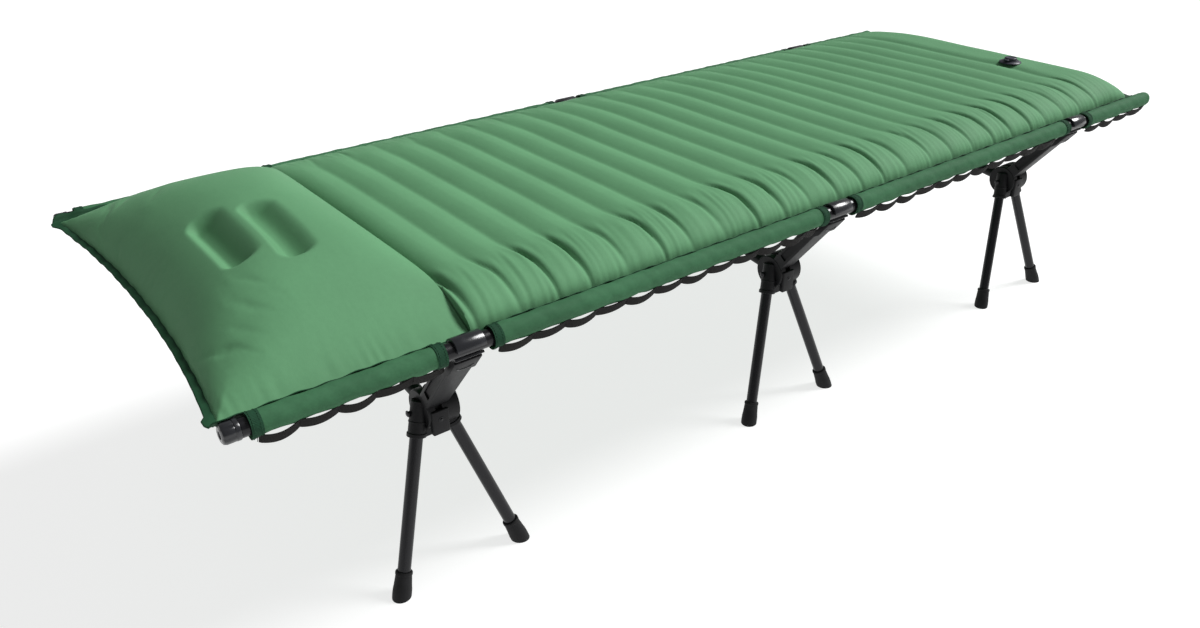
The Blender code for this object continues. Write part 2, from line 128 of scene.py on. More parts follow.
class Value:
    """A number on a shader graph; arithmetic on it adds Math nodes."""

    def __init__(self, graph: "Graph", socket: Socket) -> None:
        """Wrap an output socket of a graph."""
        self.graph = graph
        self.socket = socket

    def __add__(self, other: "Value | float") -> "Value":
        """Sum."""
        return self.graph.maths("ADD", self, other)

    def __mul__(self, other: "Value | float") -> "Value":
        """Product."""
        return self.graph.maths("MULTIPLY", self, other)

    def sine(self) -> "Value":
        """Sine of the value in radians."""
        return self.graph.maths("SINE", self)

    def between(self, low: float, high: float) -> "Value":
        """Smooth step from 0 at low to 1 at high."""
        node = self.graph.node("ShaderNodeMapRange", {"interpolation_type": "SMOOTHSTEP"},
                               {"Value": self, "From Min": low, "From Max": high})
        return Value(self.graph, node.outputs[0])


class Graph:
    """The node tree of one material."""

    def __init__(self, name: str) -> None:
        """Make a material with a Principled shader.

        Args:
            name: the material's name.
        """
        self.material = bpy.data.materials.new(name)
        self.material.use_nodes = True
        self.tree = self.material.node_tree
        self.shader = self.tree.nodes["Principled BSDF"]

    def node(self, kind: str, settings: dict[str, object], inputs: dict[str | int, object]) -> bpy.types.Node:
        """Add a node.

        Args:
            kind: the node's type name.
            settings: its own settings, set before its sockets.
            inputs: values, sockets or Values for its input sockets, by name or number.

        Returns:
            The node.
        """
        made = self.tree.nodes.new(kind)
        for name, value in settings.items():
            setattr(made, name, value)
        for name, value in inputs.items():
            self.feed(made.inputs[name], value)
        return made

    def feed(self, socket: Socket, value: object) -> None:
        """Link or set one input socket."""
        if isinstance(value, Value):
            value = value.socket
        if isinstance(value, Socket):
            self.tree.links.new(value, socket)
        else:
            socket.default_value = value

    def maths(self, operation: str, *values: "Value | float") -> Value:
        """One Math node on values and numbers."""
        made = self.node("ShaderNodeMath", {"operation": operation}, dict(enumerate(values)))
        return Value(self, made.outputs[0])

    def place(self, source: Coordinates, scale: Point = (1.0, 1.0, 1.0)) -> Socket:
        """Scaled coordinates of the surface."""
        made = self.node("ShaderNodeTexCoord", {}, {})
        mapped = self.node("ShaderNodeMapping", {}, {"Vector": made.outputs[source.value], "Scale": scale})
        return mapped.outputs[0]

    def parts(self, vector: Socket) -> tuple[Value, Value, Value]:
        """The three numbers of a vector."""
        made = self.node("ShaderNodeSeparateXYZ", {}, {0: vector})
        return Value(self, made.outputs[0]), Value(self, made.outputs[1]), Value(self, made.outputs[2])

    def noise(self, vector: Socket, scale: float, detail: float = 3.0) -> Value:
        """Noise from 0 to 1, with its middle at a half."""
        made = self.node("ShaderNodeTexNoise", {}, {"Vector": vector, "Scale": scale, "Detail": detail})
        return Value(self, made.outputs["Fac"])

    def blend(self, share: Value, first: Colour, second: Colour) -> Socket:
        """A colour between two colours."""
        made = self.node("ShaderNodeMix", {"data_type": "RGBA"},
                         {0: share, 6: (*first, 1.0), 7: (*second, 1.0)})
        return made.outputs[2]

    def bump(self, height: Value, depth: float, strength: float = 1.0) -> Socket:
        """A normal bent by a height from 0 to 1 that stands for a depth in metres."""
        made = self.node("ShaderNodeBump", {}, {"Height": height, "Distance": depth, "Strength": strength})
        return made.outputs[0]

    def surface(self, inputs: dict[str, object]) -> Material:
        """Set the shader's sockets and return the material."""
        for name, value in inputs.items():
            self.feed(self.shader.inputs[name], value)
        return self.material


def shaded(colour: Colour, factor: float) -> Colour:
    """The colour, lighter or darker."""
    return tuple(min(1.0, channel * factor) for channel in colour)


@dataclass(frozen=True)
class ClothFinish:
    """Woven cloth: its threads cross on the piece's UV map, which is in metres."""

    name: str
    colour: Colour
    roughness: float = 0.7
    thread: float = 0.0011
    weave_depth: float = 0.00012
    mottling: float = 0.10
    sheen: float = 0.02
    crinkle: float = 0.0006

    def material(self) -> Material:
        """Build the finish."""
        graph = Graph(self.name)
        place = graph.place(Coordinates.OBJECT)
        cloudy = graph.noise(place, 9.0, 4.0)
        fine = graph.noise(place, 160.0, 2.0)
        along, across, _ = graph.parts(graph.place(Coordinates.UV))
        turn = 2 * math.pi / self.thread
        weave = (along * turn).sine() * (across * turn).sine() * 0.5 + 0.5
        creases = graph.noise(graph.place(Coordinates.OBJECT, (1.0, 0.35, 0.6)), 70.0, 3.0)
        share = (cloudy * 0.7 + fine * 0.3).between(0.25, 0.75)
        dark, light = shaded(self.colour, 1 - self.mottling), shaded(self.colour, 1 + self.mottling)
        height = weave * (self.weave_depth / self.crinkle) + creases
        return graph.surface({
            "Base Color": graph.blend(share, dark, light),
            "Roughness": cloudy * 0.12 + (self.roughness - 0.06),
            "Specular IOR Level": 0.12,
            "Sheen Weight": self.sheen,
            "Sheen Roughness": 0.5,
            "Sheen Tint": (*shaded(self.colour, 2.5), 1.0),
            "Normal": graph.bump(height, self.crinkle, 0.6),
        })


@dataclass(frozen=True)
class TapeFinish:
    """Ribbed woven tape or webbing; ribs lie across its length."""

    name: str
    colour: Colour
    rib: float = 0.0016
    depth: float = 0.0003
    roughness: float = 0.8

    def material(self) -> Material:
        """Build the finish."""
        graph = Graph(self.name)
        along, across, _ = graph.parts(graph.place(Coordinates.UV))
        ribs = (along * (2 * math.pi / self.rib)).sine() * 0.5 + 0.5
        threads = (across * (4 * math.pi / self.rib)).sine() * 0.25 + 0.25
        worn = graph.noise(graph.place(Coordinates.OBJECT), 120.0, 3.0)
        share = (ribs * 0.4 + worn * 0.6).between(0.1, 0.9)
        return graph.surface({
            "Base Color": graph.blend(share, shaded(self.colour, 0.7), shaded(self.colour, 1.35)),
            "Roughness": worn * 0.15 + (self.roughness - 0.08),
            "Specular IOR Level": 0.15,
            "Normal": graph.bump(ribs + threads, self.depth, 0.7),
        })


@dataclass(frozen=True)
class TubeFinish:
    """Anodised aluminium tube with fine drawing lines along its length."""

    name: str
    colour: Colour = (0.008, 0.008, 0.010)
    roughness: float = 0.27

    def material(self) -> Material:
        """Build the finish."""
        graph = Graph(self.name)
        lines = graph.noise(graph.place(Coordinates.UV, (6.0, 900.0, 1.0)), 1.0, 3.0)
        handled = graph.noise(graph.place(Coordinates.OBJECT), 24.0, 4.0)
        worn = handled.between(0.62, 0.80)
        return graph.surface({
            "Base Color": graph.blend(worn * 0.5, self.colour, shaded(self.colour, 2.2)),
            "Metallic": 0.20,
            "Specular IOR Level": 0.35,
            "Roughness": lines * 0.10 + handled * 0.12 + (self.roughness - 0.11),
            "Normal": graph.bump(lines, 0.00004, 0.5),
        })


@dataclass(frozen=True)
class MouldedFinish:
    """Moulded plastic or rubber with a fine spark-eroded grain."""

    name: str
    colour: Colour
    roughness: float
    grain: float = 0.00008
    gloss: float = 0.0

    def material(self) -> Material:
        """Build the finish."""
        graph = Graph(self.name)
        place = graph.place(Coordinates.OBJECT)
        grain = graph.noise(place, 1400.0, 2.0)
        scuffs = graph.noise(place, 60.0, 5.0)
        return graph.surface({
            "Base Color": graph.blend(scuffs.between(0.45, 0.75), self.colour, shaded(self.colour, 1.5)),
            "Roughness": scuffs * 0.16 + (self.roughness - 0.08),
            "Specular IOR Level": 0.22,
            "Coat Weight": self.gloss,
            "Coat Roughness": 0.2,
            "Normal": graph.bump(grain, self.grain, 0.6),
        })


@dataclass(frozen=True)
class WireFinish:
    """Bright bent wire and pins."""

    name: str
    colour: Colour = (0.62, 0.61, 0.60)

    def material(self) -> Material:
        """Build the finish."""
        graph = Graph(self.name)
        marks = graph.noise(graph.place(Coordinates.OBJECT), 300.0, 4.0)
        return graph.surface({
            "Base Color": graph.blend(marks, shaded(self.colour, 0.75), self.colour),
            "Metallic": 1.0,
            "Roughness": marks * 0.2 + 0.18,
        })


class Finishes:
    """Every finish of the cot, made once."""

    def __init__(self) -> None:
        """Build the materials."""
        self.mattress = ClothFinish("mattress_cloth", (0.108, 0.272, 0.136), roughness=0.66,
                                    mottling=0.05).material()
        self.cover = ClothFinish("cover_cloth", (0.044, 0.138, 0.066), roughness=0.72, mottling=0.16,
                                 weave_depth=0.0002).material()
        # The welded rims are real, but their dark green is partly painted shade: much darker than the
        # mattress cloth, it stands in for the shade in the narrow gap between the bed and the sleeves.
        self.flange = ClothFinish("welded_flange_painted_shade", (0.014, 0.058, 0.027), roughness=0.6,
                                  mottling=0.2).material()
        self.binding = TapeFinish("binding_tape", (0.012, 0.052, 0.026)).material()
        self.webbing = TapeFinish("black_webbing", (0.010, 0.0095, 0.009)).material()
        self.thread = TapeFinish("green_thread", (0.020, 0.070, 0.035)).material()
        self.black_thread = TapeFinish("black_thread", (0.030, 0.030, 0.030)).material()
        self.tube = TubeFinish("black_anodised").material()
        self.nylon = MouldedFinish("black_nylon", (0.005, 0.005, 0.006), 0.50).material()
        self.clip = MouldedFinish("rail_clip", (0.016, 0.017, 0.020), 0.26, gloss=0.5).material()
        self.rubber = MouldedFinish("black_rubber", (0.011, 0.011, 0.012), 0.62, 0.00015).material()
        self.steel = WireFinish("bright_steel").material()
        self.valve = MouldedFinish("valve_plastic", (0.035, 0.034, 0.050), 0.42).material()


# ---------------------------------------------------------------- mesh making


def smoothstep(low: float, high: float, values: np.ndarray) -> np.ndarray:
    """Smooth step from 0 at low to 1 at high."""
    share = np.clip((values - low) / (high - low), 0.0, 1.0)
    return share * share * (3 - 2 * share)


def run_along(path: np.ndarray) -> np.ndarray:
    """Distance along a polyline at each of its points."""
    return np.concatenate([[0], np.cumsum(np.linalg.norm(np.diff(path, axis=0), axis=1))])


def from_bmesh(name: str, bm: bmesh.types.BMesh) -> Mesh:
    """A mesh with what a BMesh holds; the BMesh is freed."""
    mesh = bpy.data.meshes.new(name)
    bm.to_mesh(mesh)
    bm.free()
    return mesh


def tidy(mesh: Mesh, weld: bool = True, sharp: float = SHARP_DEGREES) -> Mesh:
    """Weld doubles, turn the faces outward and shade smooth with sharp edges.

    Args:
        mesh: a closed mesh.
        weld: whether doubles are merged.
        sharp: the angle, in degrees, from which an edge stays sharp.

    Returns:
        The same mesh.
    """
    bm = bmesh.new()
    bm.from_mesh(mesh)
    if weld:
        bmesh.ops.remove_doubles(bm, verts=bm.verts, dist=WELD_WITHIN)
    bmesh.ops.recalc_face_normals(bm, faces=bm.faces)
    bm.to_mesh(mesh)
    bm.free()
    mesh.shade_smooth()
    mesh.set_sharp_from_angle(angle=math.radians(sharp))
    return mesh


def grid_mesh(name: str, points: np.ndarray, uv: np.ndarray, closed: bool = False,
              caps: bool = False, keep: np.ndarray | None = None) -> Mesh:
    """A mesh of a grid of points.

    Args:
        name: the mesh's name.
        points: rows by columns by 3.
        uv: rows by columns by 2, in metres.
        closed: whether the last column joins the first.
        caps: whether the first and last rows are filled.
        keep: rows-1 by columns truth values of the faces to keep.

    Returns:
        The mesh, with a UV map.
    """
    rows, columns = points.shape[:2]
    index = np.arange(rows * columns).reshape(rows, columns)
    right = np.roll(index, -1, axis=1) if closed else index[:, 1:]
    left = index if closed else index[:, :-1]
    faces = np.stack([left[:-1], left[1:], right[1:], right[:-1]], axis=-1)
    if keep is not None:
        faces = faces[keep[:, :faces.shape[1]]]
    loops = faces.reshape(-1, 4).tolist()
    if caps:
        loops += [index[0].tolist(), index[-1][::-1].tolist()]
    mesh = bpy.data.meshes.new(name)
    mesh.from_pydata(points.reshape(-1, 3).tolist(), [], loops)
    corners = np.empty(len(mesh.loops), np.int32)
    mesh.loops.foreach_get("vertex_index", corners)
    layer = mesh.uv_layers.new(name="cut")
    layer.data.foreach_set("uv", uv.reshape(-1, 2)[corners].astype(np.float32).ravel())
    return mesh


def swept(x: np.ndarray, section: np.ndarray) -> tuple[np.ndarray, np.ndarray]:
    """A section in Y and Z, repeated at each place along X.

    Args:
        x: the places.
        section: points of the section, as rows of Y and Z.

    Returns:
        Points, rows by columns by 3, and their UV places in metres.
    """
    points = np.empty((len(x), len(section), 3))
    points[..., 0] = x[:, None]
    points[..., 1:] = section[None]
    return points, np.stack(np.meshgrid(x, run_along(section), indexing="ij"), axis=-1)


def lathe(name: str, profile: Sequence[tuple[float, float]], place: Matrix = Matrix(),
          steps: int = ROUND) -> Mesh:
    """Turn a closed (radius, height) profile about +Z.

    Args:
        name: the mesh's name.
        profile: the closed loop; a point of radius 0 is on the axis.
        place: where the turned shape goes.
        steps: sides round the axis.

    Returns:
        A closed mesh with U along the axis and V round it.
    """
    loop = np.array(list(profile) + [profile[0]], float)
    if profile[0][0] == 0 and profile[-1][0] == 0:
        loop = loop[:-1]
    angles = np.linspace(0, 2 * math.pi, steps, endpoint=False)
    radius, height = loop[:, 0], loop[:, 1]
    points = np.stack([np.outer(radius, np.cos(angles)), np.outer(radius, np.sin(angles)),
                       np.repeat(height[:, None], steps, axis=1)], axis=-1)
    uv = np.stack([np.repeat(height[:, None], steps, axis=1),
                   np.repeat(angles[None] * radius.max(), len(loop), axis=0)], axis=-1)
    mesh = grid_mesh(name, points, uv, closed=True)
    mesh.transform(place)
    return tidy(mesh)


def along(start: Sequence[float], end: Sequence[float]) -> Matrix:
    """Matrix that takes +Z from the origin to the line from start to end."""
    direction = Vector(end) - Vector(start)
    return Matrix.Translation(Vector(start)) @ direction.to_track_quat("Z", "Y").to_matrix().to_4x4()


def rod(name: str, start: Sequence[float], end: Sequence[float], radius: float, steps: int = ROUND,
        round_off: float = 0.0) -> Mesh:
    """A solid cylinder between two points, with its rims rounded off."""
    length = (Vector(end) - Vector(start)).length
    inner = radius - round_off
    top = [(inner, length), (radius, length - round_off)] if round_off else [(radius, length)]
    foot = [(radius, round_off), (inner, 0)] if round_off else [(radius, 0)]
    profile = [(0, length)] + top + foot + [(0, 0)]
    return lathe(name, profile, along(start, end), steps)


def tube_along(name: str, path: np.ndarray, radius: float, sides: int = 16) -> Mesh:
    """A solid tube along a path, with closed ends."""
    tangents = np.gradient(path, axis=0)
    tangents /= np.linalg.norm(tangents, axis=1)[:, None]
    normal = Vector(tangents[0]).orthogonal().normalized()
    rings, previous = [], Vector(tangents[0])
    angles = np.linspace(0, 2 * math.pi, sides, endpoint=False)
    for point, tangent in zip(path, tangents):
        turn = previous.rotation_difference(Vector(tangent))
        normal = (turn @ normal).normalized()
        previous = Vector(tangent)
        other = previous.cross(normal)
        rings.append(point + radius * (np.outer(np.cos(angles), normal) + np.outer(np.sin(angles), other)))
    uv = np.stack(np.meshgrid(run_along(path), angles * radius, indexing="ij"), axis=-1)
    return tidy(grid_mesh(name, np.array(rings), uv, closed=True, caps=True), weld=False)


def rounded_box(name: str, low: Sequence[float], high: Sequence[float], radius: float) -> Mesh:
    """A box between two corners with its edges rounded."""
    bm = bmesh.new()
    middle = (Vector(low) + Vector(high)) / 2
    size = Vector(high) - Vector(low)
    bmesh.ops.create_cube(bm, size=1.0, matrix=Matrix.Translation(middle) @ Matrix.Diagonal((*size, 1.0)))
    bmesh.ops.bevel(bm, geom=bm.edges[:], offset=radius, segments=3, profile=0.5, affect="EDGES")
    return tidy(from_bmesh(name, bm))


def prism(name: str, outline: Outline, half_width: float, round_off: float) -> Mesh:
    """An outline in Y and Z, extruded both ways along X, with its rims rounded.

    Args:
        name: the mesh's name.
        outline: points round the shape.
        half_width: how far it goes each way along X.
        round_off: the rim's radius.

    Returns:
        A closed mesh.
    """
    bm = bmesh.new()
    corners = [bm.verts.new((-half_width, y, z)) for y, z in outline]
    face = bm.faces.new(corners)
    moved = bmesh.ops.extrude_face_region(bm, geom=[face])
    top = [item for item in moved["geom"] if isinstance(item, bmesh.types.BMVert)]
    bmesh.ops.translate(bm, verts=top, vec=(2 * half_width, 0, 0))
    bmesh.ops.recalc_face_normals(bm, faces=bm.faces)
    rims = [edge for edge in bm.edges if edge.calc_face_angle(0) > math.radians(50)]
    bmesh.ops.bevel(bm, geom=rims, offset=round_off, segments=2, profile=0.5, affect="EDGES",
                    clamp_overlap=True)
    return tidy(from_bmesh(name, bm))


def arc(centre: tuple[float, float], radius: float, start: float, end: float, steps: int) -> Outline:
    """Points of an arc in degrees, both ends included."""
    angles = np.radians(np.linspace(start, end, steps + 1))
    return [(centre[0] + radius * math.cos(a), centre[1] + radius * math.sin(a)) for a in angles]


def evaluated(obj: bpy.types.Object) -> Mesh:
    """The object's mesh with its modifiers applied; the object is removed."""
    bpy.context.view_layer.update()
    graph = bpy.context.evaluated_depsgraph_get()
    mesh = bpy.data.meshes.new_from_object(obj.evaluated_get(graph), preserve_all_data_layers=True,
                                           depsgraph=graph)
    bpy.data.objects.remove(obj)
    return mesh


def helper(mesh: Mesh) -> bpy.types.Object:
    """A short-lived object for a mesh."""
    obj = bpy.data.objects.new(mesh.name, mesh)
    bpy.context.scene.collection.objects.link(obj)
    return obj


def carved(name: str, first: Mesh, joined: Sequence[Mesh] = (),
           cut: Sequence[Mesh] = (), sharp: float = SHARP_DEGREES) -> Mesh:
    """Join and cut closed meshes with exact Booleans.

    Args:
        name: the result's name.
        first: the mesh to start from.
        joined: meshes added to it.
        cut: meshes taken away from it.
        sharp: the angle, in degrees, from which an edge stays sharp.

    Returns:
        One closed mesh.
    """
    obj = helper(first)
    tools = []
    for operation, meshes in (("UNION", joined), ("DIFFERENCE", cut)):
        for mesh in meshes:
            tools.append(helper(mesh))
            modifier = obj.modifiers.new(operation, "BOOLEAN")
            modifier.operation = operation
            modifier.object = tools[-1]
    mesh = evaluated(obj)
    for tool in tools:
        bpy.data.objects.remove(tool)
    mesh.name = name
    return tidy(mesh, sharp=sharp)


def thickened(mesh: Mesh, thickness: float, offset: float = -1.0) -> Mesh:
    """A sheet given a thickness, with its rim closed."""
    obj = helper(mesh)
    solidify = obj.modifiers.new("thickness", "SOLIDIFY")
    solidify.thickness = thickness
    solidify.offset = offset
    made = evaluated(obj)
    made.shade_smooth()
    return made


def gathered(name: str, meshes: Sequence[Mesh]) -> Mesh:
    """Several meshes as one, each still a closed shell of its own."""
    bm = bmesh.new()
    for mesh in meshes:
        bm.from_mesh(mesh)
    made = from_bmesh(name, bm)
    made.shade_smooth()
    made.set_sharp_from_angle(angle=math.radians(SHARP_DEGREES))
    return made


def placed(mesh: Mesh, matrix: Matrix) -> Mesh:
    """A moved copy of a mesh."""
    made = mesh.copy()
    made.transform(matrix)
    return made


def piece(name: str, mesh: Mesh, material: Material, body: str,
          stands_for: Sequence[str] = ()) -> bpy.types.Object:
    """Add a finished piece to the cot.

    Args:
        name: the piece's name.
        mesh: its mesh, in the cot's frame.
        material: its finish.
        body: the body that it rides on.
        stands_for: the CAD nodes that it replaces.

    Returns:
        The object.
    """
    mesh.name = name
    mesh.materials.clear()
    mesh.materials.append(material)
    mesh.polygons.foreach_set("material_index", np.zeros(len(mesh.polygons), np.int32))
    obj = bpy.data.objects.new(name, mesh)
    bpy.context.scene.collection.objects.link(obj)
    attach(obj, body)
    if stands_for:
        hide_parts(*stands_for)
    LOG.info("%s: %d faces", name, len(mesh.polygons))
    return obj


# ---------------------------------------------------------------- repeats


class StitchRow:
    """A Geometry Nodes tree that lays stitches at an even pitch along a polyline."""

    def __init__(self, name: str, material: Material) -> None:
        """Build the tree.

        Args:
            name: the tree's name.
            material: the thread's finish.
        """
        self.tree = bpy.data.node_groups.new(name, "GeometryNodeTree")
        self.tree.is_modifier = True
        self.inputs: dict[str, str] = {}
        face = self.tree.interface
        face.new_socket("Geometry", in_out="INPUT", socket_type="NodeSocketGeometry")
        face.new_socket("Geometry", in_out="OUTPUT", socket_type="NodeSocketGeometry")
        for label in ("Pitch", "Length", "Radius"):
            socket = face.new_socket(label, in_out="INPUT", socket_type="NodeSocketFloat")
            self.inputs[label] = socket.identifier
        entry, leave = self.add("NodeGroupInput"), self.add("NodeGroupOutput")
        curve = self.add("GeometryNodeMeshToCurve", {"Mesh": entry.outputs["Geometry"]})
        spaced = self.add("GeometryNodeResampleCurve",
                          {"Curve": curve.outputs[0], "Length": entry.outputs["Pitch"]}, {"mode": "LENGTH"})
        bead = self.add("GeometryNodeMeshUVSphere", {"Segments": 6, "Rings": 4, "Radius": 1.0})
        size = self.add("ShaderNodeCombineXYZ", {"X": entry.outputs["Length"], "Y": entry.outputs["Radius"],
                                                 "Z": entry.outputs["Radius"]})
        stitch = self.add("GeometryNodeTransform", {"Geometry": bead.outputs[0], "Scale": size.outputs[0]})
        turned = self.add("FunctionNodeAlignRotationToVector",
                          {"Vector": self.add("GeometryNodeInputTangent").outputs[0]}, {"axis": "X"})
        copies = self.add("GeometryNodeInstanceOnPoints",
                          {"Points": spaced.outputs[0], "Instance": stitch.outputs[0],
                           "Rotation": turned.outputs[0]})
        real = self.add("GeometryNodeRealizeInstances", {0: copies.outputs[0]})
        dressed = self.add("GeometryNodeSetMaterial", {"Geometry": real.outputs[0], "Material": material})
        self.tree.links.new(dressed.outputs[0], leave.inputs["Geometry"])

    def add(self, kind: str, inputs: dict[str | int, object] | None = None,
            settings: dict[str, object] | None = None) -> bpy.types.Node:
        """Add a node with its settings and inputs."""
        node = self.tree.nodes.new(kind)
        for name, value in (settings or {}).items():
            setattr(node, name, value)
        for name, value in (inputs or {}).items():
            if isinstance(value, Socket):
                self.tree.links.new(value, node.inputs[name])
            else:
                node.inputs[name].default_value = value
        return node

    def sewn(self, name: str, paths: Sequence[np.ndarray], pitch: float, length: float,
             radius: float) -> Mesh:
        """Stitches along paths.

        Args:
            name: the mesh's name.
            paths: polylines, each an array of points.
            pitch: from one stitch to the next.
            length: half of a stitch's length.
            radius: the thread's radius.

        Returns:
            A plain mesh of all the stitches.
        """
        points, edges, first = [], [], 0
        for path in paths:
            points += path.tolist()
            edges += [(first + i, first + i + 1) for i in range(len(path) - 1)]
            first += len(path)
        mesh = bpy.data.meshes.new(name)
        mesh.from_pydata(points, edges, [])
        obj = helper(mesh)
        modifier = obj.modifiers.new(name, "NODES")
        modifier.node_group = self.tree
        for label, value in (("Pitch", pitch), ("Length", length), ("Radius", radius)):
            modifier[self.inputs[label]] = value
        made = evaluated(obj)
        made.shade_smooth()
        return made


# ---------------------------------------------------------------- air bed


def lapped_reach(line: np.ndarray, widest: np.ndarray) -> np.ndarray:
    """How far each point of a welded rim stands out from its line; it stays back at the clips.

    Args:
        line: the rim's line, as rows of X and Y.
        widest: how far out the rim's edge is at each place of the line.

    Returns:
        Distances, one row for each place and one column for each point across the rim.
    """
    clear = np.min([np.abs(line[:, 0] - station) for station in STATIONS], axis=0)
    share = smoothstep(WINDOW_HALF - 0.004, WINDOW_HALF + 0.012, clear)
    edge = 0.0020 + (widest - 0.0020) * share
    return np.concatenate([np.full((len(line), 1), -0.010), np.full((len(line), 1), -0.003),
                           edge[:, None] * np.linspace(0, 1, 6)], axis=1)


def over_sleeve(y: np.ndarray) -> np.ndarray:
    """Height of a welded rim: flat on the cover, and up over the sleeve where it reaches that far."""
    off = np.clip(np.abs(y) - RAIL_Y, -SLEEVE_RADIUS, SLEEVE_RADIUS)
    top = RAIL_Z + np.sqrt(SLEEVE_RADIUS ** 2 - off ** 2) + 0.0022
    return np.maximum(BED_BOTTOM + 0.0026, top)


def welded_rim(name: str, line: np.ndarray, widest: np.ndarray, waves: Sequence[Point],
               thickness: float) -> Mesh:
    """A thin wavy rim that stands out from a line and laps over the sleeves.

    Args:
        name: the mesh's name.
        line: the rim's line, as rows of X and Y.
        widest: how far out the rim's edge is at each place of the line.
        waves: the height, rate and phase of each wave along the rim.
        thickness: how thick the rim is.

    Returns:
        The mesh.
    """
    tangent = np.gradient(line, axis=0)
    tangent /= np.maximum(np.linalg.norm(tangent, axis=1), 1e-9)[:, None]
    outward = np.stack([tangent[:, 1], -tangent[:, 0]], axis=-1)
    run = run_along(line)
    reach = lapped_reach(line, widest)
    plan = line[:, None, :] + outward[:, None, :] * reach[:, :, None]
    wave = sum(size * np.sin(run * rate + phase) for size, rate, phase in waves)
    z = over_sleeve(plan[..., 1]) + wave[:, None] * smoothstep(-0.004, 0.003, reach)
    points = np.concatenate([plan, z[:, :, None]], axis=-1)
    uv = np.stack([run[:, None] + 0 * reach, reach], axis=-1)
    return thickened(grid_mesh(name, points, uv), thickness, 0.0)


@dataclass(frozen=True)
class Wall:
    """How one long side of the mattress slopes and creases.

    Attributes:
        side: which side it is.
        width: how far in from the rim the slope reaches.
        creasing: how sharp the creases at the channels' ends are.
        wander: how far the channels' ends swing along the cot.
        fading: how much of the channels' depth is lost by the rim.
    """

    side: Side
    width: float
    creasing: float
    wander: float
    fading: float


